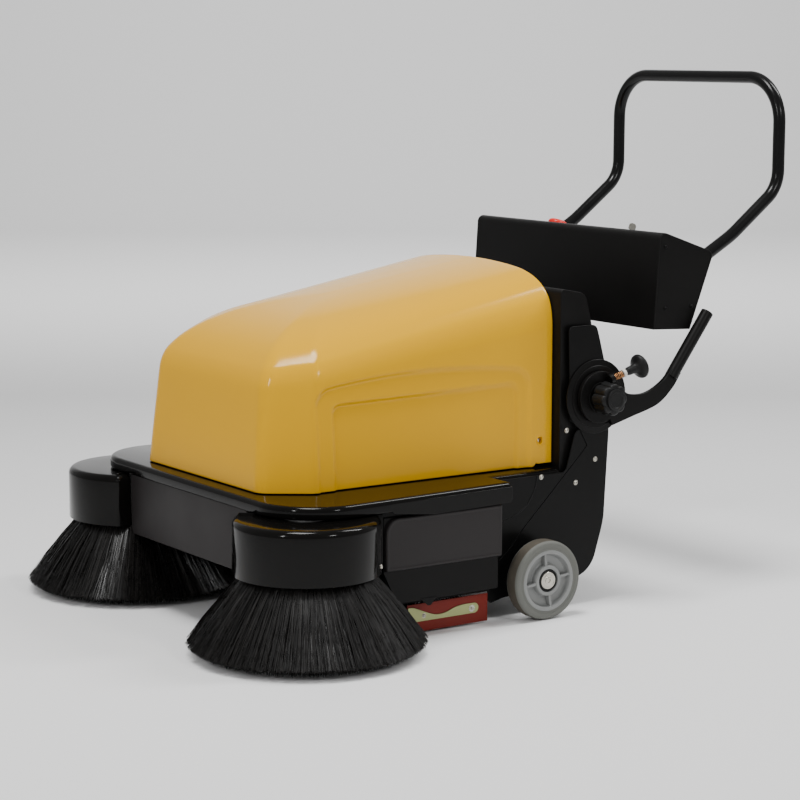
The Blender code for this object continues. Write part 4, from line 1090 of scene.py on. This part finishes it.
def arms():
    centre = (PIVOT.y, PIVOT.z)
    hub = arc(centre, 0.050, -62, -320, 60)
    upper = [(0.2155, 0.4345), (0.232, 0.4120), (0.254, 0.4015), (0.292, 0.4020), (0.330, 0.4200),
             (0.357, 0.4460)]
    lower = [(0.378, 0.4340), (0.355, 0.4040), (0.318, 0.3760), (0.255, 0.3580), (0.203, 0.3440)]
    edge = [tuple(p) for p in smooth_curve(upper, 8)]
    under = [tuple(p) for p in smooth_curve(lower, 8)]
    outline = hub[:-1] + edge[1:] + under[:-1]
    bore = arc(centre, 0.0064, 0, 348.75, 31)
    pair("arm_plate", holed(outline, bore, "X", 0.308, 0.318), "satin_black", "handle", "arm",
         bevel=0.0014)
    start, end = Vector((0.3115, 0.3560, 0.4260)), Vector((0.3115, 0.4480, 0.5480))
    tube = swept([start, start + (end - start) * 0.01, end], 0.0125, 32)
    pair("arm_tube", tube, "satin_black", "handle", bevel=0.0010)
    rim = [(0.0290, 0.3178), (0.0290, 0.3186), (0.0284, 0.3190), (0.0252, 0.3190),
           (0.0246, 0.3186), (0.0246, 0.3178)]
    pair("arm_boss", turned(rim, "X", centre, 72), "satin_black", "handle", sharp=32)


def star_knobs():
    centre = (PIVOT.y, PIVOT.z)
    lobes, points = 8, 128
    mesh = bmesh.new()
    rows = []
    for inset, x in ((0.0060, 0.3262), (0.0004, 0.3272), (-0.0016, 0.3290), (-0.0012, 0.3360),
                     (0.0, 0.3420), (0.0, 0.3560), (0.0010, 0.3582), (0.0028, 0.3597),
                     (0.0050, 0.3602)):
        row = []
        for step in range(points):
            turn = 2 * math.pi * step / points
            r = 0.0284 + 0.0021 * (2 * abs(math.cos(lobes / 2 * turn)) ** 0.7 - 1) - inset
            row.append(mesh.verts.new((x, centre[0] + r * math.cos(turn),
                                       centre[1] + r * math.sin(turn))))
        rows.append(row)
    bridge(mesh, rows)
    mesh.faces.new(rows[0])
    mesh.faces.new(rows[-1])
    boss = turned([(0, 0.3190), (0.0166, 0.3190), (0.0170, 0.3194), (0.0198, 0.3390),
                   (0.0204, 0.3596), (0.0208, 0.3625), (0.0204, 0.3642), (0.0192, 0.3650),
                   (0.0150, 0.3650), (0.0142, 0.3641), (0, 0.3638)], "X", centre, 64)
    pair("star_grip", together([closed(mesh), boss]), "knob_black", "clamp_knob_{}", "star_knob",
         sharp=38)


def plunger():
    place = (Matrix.Translation((0.3275, 0.1935, 0.4375))
             @ Matrix.Rotation(math.radians(15.0), 4, "X"))

    def along(profile, sides=48):
        return moved(turned(profile, "Y", (0, 0), sides), place)

    barrel = along([(0.0042, -0.0040), (0.0085, -0.0040), (0.0090, -0.0035), (0.0090, 0.0052),
                    (0.0084, 0.0060), (0.0042, 0.0060)])
    foot = box((0.3183, 0.1905, 0.4290), (0.3215, 0.1980, 0.4460))
    piece("plunger_sleeve", together([barrel, foot]), "satin_black", "handle",
          ["plunger_barrel"], sharp=32)
    bush = along([(0.0038, 0.0292), (0.0074, 0.0292), (0.0078, 0.0297), (0.0078, 0.0350),
                  (0.0072, 0.0357), (0.0038, 0.0357)])
    piece("plunger_bush", bush, None, "plunger", material=WHITE, sharp=32)
    knob = along([(0, -0.0035), (0.0028, -0.0035), (0.0036, -0.0027), (0.0036, 0.0355),
                  (0.0062, 0.0355), (0.0066, 0.0360), (0.0066, 0.0415), (0.0078, 0.0425),
                  (0.0084, 0.0480), (0.0090, 0.0580), (0.0104, 0.0610), (0.0150, 0.0640),
                  (0.0210, 0.0675), (0.0230, 0.0700), (0.0237, 0.0730), (0.0234, 0.0755),
                  (0.0215, 0.0778), (0.0170, 0.0798), (0.0100, 0.0808), (0, 0.0810)], 64)
    piece("plunger_grip", knob, "knob_black", "plunger", ["plunger_knob"], sharp=45)
    turns, steps = 6.0, 144
    coil = []
    for step in range(steps + 1):
        t = step / steps
        # the end turns lie flat
        rise = 0.0068 + 0.0216 * smooth_step(t, -0.16, 1.16)
        angle = 2 * math.pi * turns * t
        coil.append(place @ Vector((0.0058 * math.cos(angle), rise, 0.0058 * math.sin(angle))))
    spring = piece("plunger_spring", swept(coil, 0.00085, 10), None, None, material=COPPER,
                   sharp=60)
    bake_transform(spring)


def handle():
    half, y, z = 0.2525, 0.684, 1.002
    left = [((half, 0.4370, 0.6230), 0), ((half, 0.560, 0.690), 0.250),
            ((half, 0.683, 0.782), 0.070), ((half, y, z), 0.090)]
    right = [((-point[0], point[1], point[2]), radius) for point, radius in reversed(left)]
    piece("handle_bar", swept(bent_path(left + right, 20), 0.0125, 40), "tube_black", "handle",
          ["handle_tube"], sharp=50)
    heading = Vector((0, 0.123, 0.067)).normalized()
    turn = Vector((0, 0, 1)).rotation_difference(heading).to_matrix().to_4x4()
    for way, side in SIDES:
        collar = turned([(0.0126, -0.002), (0.0165, -0.002), (0.0165, 0.0045), (0.0150, 0.0060),
                         (0.0126, 0.0060)], "Z", (0, 0), 40)
        at = Vector((way * half, 0.4370, 0.6230)) + heading * 0.0105
        piece(f"tube_collar_{side}", moved(collar, Matrix.Translation(at) @ turn), "knob_black",
              "handle", sharp=32)


# --- console --------------------------------------------------------------------------------
CONSOLE_FRONT, CONSOLE_REAR = Vector((0.335, 0.712)), Vector((0.474, 0.664))
PANEL_SLOPE = math.atan2(CONSOLE_FRONT.y - CONSOLE_REAR.y, CONSOLE_REAR.x - CONSOLE_FRONT.x)


def panel_point(x, up):
    """A point of the console's sloping top, at a distance up the slope from its rear edge."""
    return (x, CONSOLE_REAR.x - up * math.cos(PANEL_SLOPE),
            CONSOLE_REAR.y + up * math.sin(PANEL_SLOPE))


def on_panel(mesh, x, up=0.070):
    return moved(mesh, Matrix.Translation(panel_point(x, up))
                 @ Matrix.Rotation(-PANEL_SLOPE, 4, "X"))


def cut(mesh, cutter):
    """The mesh with the cutter taken away."""
    made = []
    for index, shape in enumerate((mesh, cutter)):
        data = bpy.data.meshes.new(f"cut_{index}")
        shape.to_mesh(data)
        shape.free()
        item = bpy.data.objects.new(f"cut_{index}", data)
        bpy.context.scene.collection.objects.link(item)
        made.append(item)
    step = made[0].modifiers.new("cut", "BOOLEAN")
    step.object = made[1]
    step.solver = "EXACT"
    bpy.context.view_layer.update()
    shown = made[0].evaluated_get(bpy.context.evaluated_depsgraph_get())
    result = bmesh.new()
    result.from_mesh(shown.to_mesh())
    for item in made:
        data = item.data
        bpy.data.objects.remove(item, do_unlink=True)
        bpy.data.meshes.remove(data)
    return result


def console():
    outline = rounded([(0.322, 0.520, 0.0), (0.415, 0.515, 0.0), (*CONSOLE_REAR, 0.014),
                       (*CONSOLE_FRONT, 0.014)], 14)
    path = outline[1:] + outline[:1]
    half = 0.2985
    sheet = path + list(reversed(offset_path(path, -0.0030)))
    shell = prism(sheet, "X", -half, half)
    bore = [(0, -0.02), (0.0092, -0.02), (0.0092, 0.02), (0, 0.02)]
    hole = on_panel(turned(bore, sides=40), -0.120)
    piece("console_shell", cut(shell, hole), "satin_black", "handle", ["console"], bevel=0.0012,
          sharp=30)
    for way, side in SIDES:
        ends = (way * (half - 0.0045), way * (half - 0.0010))
        piece(f"console_end_{side}", prism(offset_path(path, -0.0010), "X", min(ends), max(ends)),
              "satin_black", "handle", bevel=0.0006)
        heads = [screw_head((way * (half - 0.0006), a, b), (way, 0, 0), 0.0034)
                 for a, b in ((0.350, 0.680), (0.352, 0.560), (0.418, 0.560))]
        piece(f"console_screws_{side}", together(heads), "steel_black", "handle")
    # a recessed overlay with the controls, left blank
    overlay = rounded([(-0.185, -0.036, 0.008), (0.185, -0.036, 0.008), (0.185, 0.036, 0.008),
                       (-0.185, 0.036, 0.008)], 8)
    plate = cut(prism(overlay, "Z", -0.0002, 0.0009),
                moved(turned(bore, sides=40), Matrix.Translation((-0.120, 0, 0))))
    piece("console_overlay", on_panel(plate, 0.0), "panel_grey", "handle", bevel=0.0004)
    bezel = rounded([(-0.042, -0.017, 0.005), (0.042, -0.017, 0.005), (0.042, 0.017, 0.005),
                     (-0.042, 0.017, 0.005)], 8)
    piece("gauge_bezel", on_panel(prism(bezel, "Z", 0.0004, 0.0042), 0.0), "knob_black", "handle",
          bevel=0.0012)
    window = rounded([(-0.036, -0.011, 0.002), (0.036, -0.011, 0.002), (0.036, 0.011, 0.002),
                      (-0.036, 0.011, 0.002)], 4)
    piece("gauge_window", on_panel(prism(window, "Z", 0.0036, 0.0046), 0.0), None, "handle",
          material=LENS, bevel=0.0004)
    bars = [box((-0.030 + 0.0125 * i, -0.006, 0.0042), (-0.0215 + 0.0125 * i, 0.006, 0.0050))
            for i in range(5)]
    piece("gauge_bars", on_panel(together(bars), 0.0), None, "handle", material=AMBER)
    ring = [(0.0112, 0.0006), (0.0160, 0.0006), (0.0160, 0.0034), (0.0148, 0.0046),
            (0.0120, 0.0046), (0.0112, 0.0036)]
    piece("key_ring", on_panel(turned(ring, sides=48), 0.120), "knob_black", "handle", sharp=32)
    barrel = turned([(0, 0.0010), (0.0104, 0.0010), (0.0109, 0.0015), (0.0109, 0.0042),
                     (0.0100, 0.0056), (0.0072, 0.0062), (0, 0.0062)], sides=48)
    bow = rounded([(-0.0085, 0.0125, 0.003), (0.0085, 0.0125, 0.003), (0.0085, 0.0260, 0.006),
                   (-0.0085, 0.0260, 0.006)], 8)
    blade = together([prism(bow, "X", -0.0012, 0.0012),
                      box((-0.0010, -0.0042, 0.0055), (0.0010, 0.0042, 0.0135))])
    piece("key_with_lock", on_panel(together([barrel, blade]), 0.120), "zinc_steel", "key",
          ["key_switch"], sharp=32)
    amber = turned([(0.0094, 0.0004), (0.0280, 0.0004), (0.0285, 0.0008), (0.0280, 0.0013),
                    (0.0094, 0.0013)], sides=72)
    piece("stop_ring", on_panel(amber, -0.120), None, "handle", material=AMBER, sharp=32)
    button = turned([(0, -0.0060), (0.0080, -0.0060), (0.0080, 0.0070), (0.0150, 0.0068),
                     (0.0172, 0.0066), (0.0190, 0.0080), (0.0200, 0.0096), (0.0200, 0.0124),
                     (0.0192, 0.0146), (0.0170, 0.0168), (0.0130, 0.0182), (0.0070, 0.0189),
                     (0, 0.0190)], sides=72)
    piece("stop_head", on_panel(button, -0.120), "stop_red", "stop", ["stop_button"], sharp=50)


def hood_hinge():
    refined("hood_hinge_base", "chassis", "zinc_steel", 0.0006, 2)
    refined("hood_hinge_leaf", "hood", "zinc_steel", 0.0006, 2)


# --- surroundings ---------------------------------------------------------------------------
AIM = 0.9783                 # heading of the camera, from +Y towards -X
PITCH = 0.1434               # how far it looks down
EYE = Vector((3.791, -2.650, 1.0677))
LENS_MM = 106.43
LENS_SHIFT = (0.0150, -0.0174)


def surroundings():
    sweep = Matrix.Rotation(AIM, 4, "Z")
    profile = [(-9.0, -0.0004), (9.0, -0.0004)]
    profile += [(9.0 + 3.0 * math.sin(t), 3.0 - 3.0 * math.cos(t))
                for t in np.linspace(0.05, math.pi / 2, 30)]
    profile.append((12.0, 9.0))
    mesh = bmesh.new()
    rows = [[mesh.verts.new((x, y, z)) for y, z in profile] for x in (-14.0, 14.0)]
    bridge(mesh, rows, loop=False)
    moved(mesh, sweep)
    data = bpy.data.meshes.new("studio_floor")
    mesh.to_mesh(data)
    mesh.free()
    data.shade_smooth()
    floor = bpy.data.objects.new("studio_floor", data)
    bpy.context.scene.collection.objects.link(floor)
    data.materials.append(node_material("floor white", (0.86, 0.86, 0.86), 0.75, spread=0.004,
                                        patch=0.6, grain=120, bump=0.02, uneven=0.03,
                                        specular=0.2))

    world = bpy.data.worlds.new("studio")
    bpy.context.scene.world = world
    world.use_nodes = True
    world.node_tree.nodes["Background"].inputs["Color"].default_value = (1, 1, 1, 1)
    world.node_tree.nodes["Background"].inputs["Strength"].default_value = 0.44

    def softbox(name, place, target, size, power):
        lamp = bpy.data.lights.new(name, "AREA")
        lamp.shape = "RECTANGLE"
        lamp.size, lamp.size_y = size
        lamp.energy = power
        item = bpy.data.objects.new(name, lamp)
        item.location = place
        aim = Vector(target) - Vector(place)
        item.rotation_euler = aim.to_track_quat("-Z", "Y").to_euler()
        bpy.context.scene.collection.objects.link(item)

    softbox("overhead", (0.3, -0.8, 3.6), (0, -0.1, 0.3), (1.1, 1.1), 105)
    softbox("edge_strip", (0.85, 2.3, 3.5), (0, 0, 0.3), (0.5, 1.8), 75)
    softbox("front_strip", (1.7, -4.4, 2.5), (0, -0.2, 0.4), (0.30, 1.2), 45)
    softbox("side_fill", (4.8, 0.4, 2.9), (0, 0.1, 0.3), (0.7, 0.7), 50)
    softbox("backdrop", (-3.4, 2.3, 4.5), (-9.5, 6.4, 2.0), (5.0, 3.0), 420)

    eye = bpy.data.cameras.new("camera")
    eye.sensor_width = 36.0
    eye.lens = LENS_MM
    eye.shift_x, eye.shift_y = LENS_SHIFT
    eye.clip_end = 100
    item = bpy.data.objects.new("camera", eye)
    forward = Vector((-math.sin(AIM) * math.cos(PITCH), math.cos(AIM) * math.cos(PITCH),
                      -math.sin(PITCH)))
    item.location = EYE
    item.rotation_euler = forward.to_track_quat("-Z", "Y").to_euler()
    bpy.context.scene.collection.objects.link(item)
    bpy.context.scene.camera = item


hood()
hood_fittings()
hood_hinge()
deck()
brush_covers()
front_panel()
side_skirts()
side_sheets()
rear_housing()
wheels()
castor()
side_brushes()
main_brush()
drive()
flaps()
dustbin()
power()
index_plates()
arms()
star_knobs()
plunger()
handle()
console()
surroundings()

for part in frame["record"]["subparts"]:
    name = part.get("node", part.get("name"))
    if name in NODES and not NODES[name].data.materials:
        NODES[name].data.materials.append(LOOKS["satin_black"])
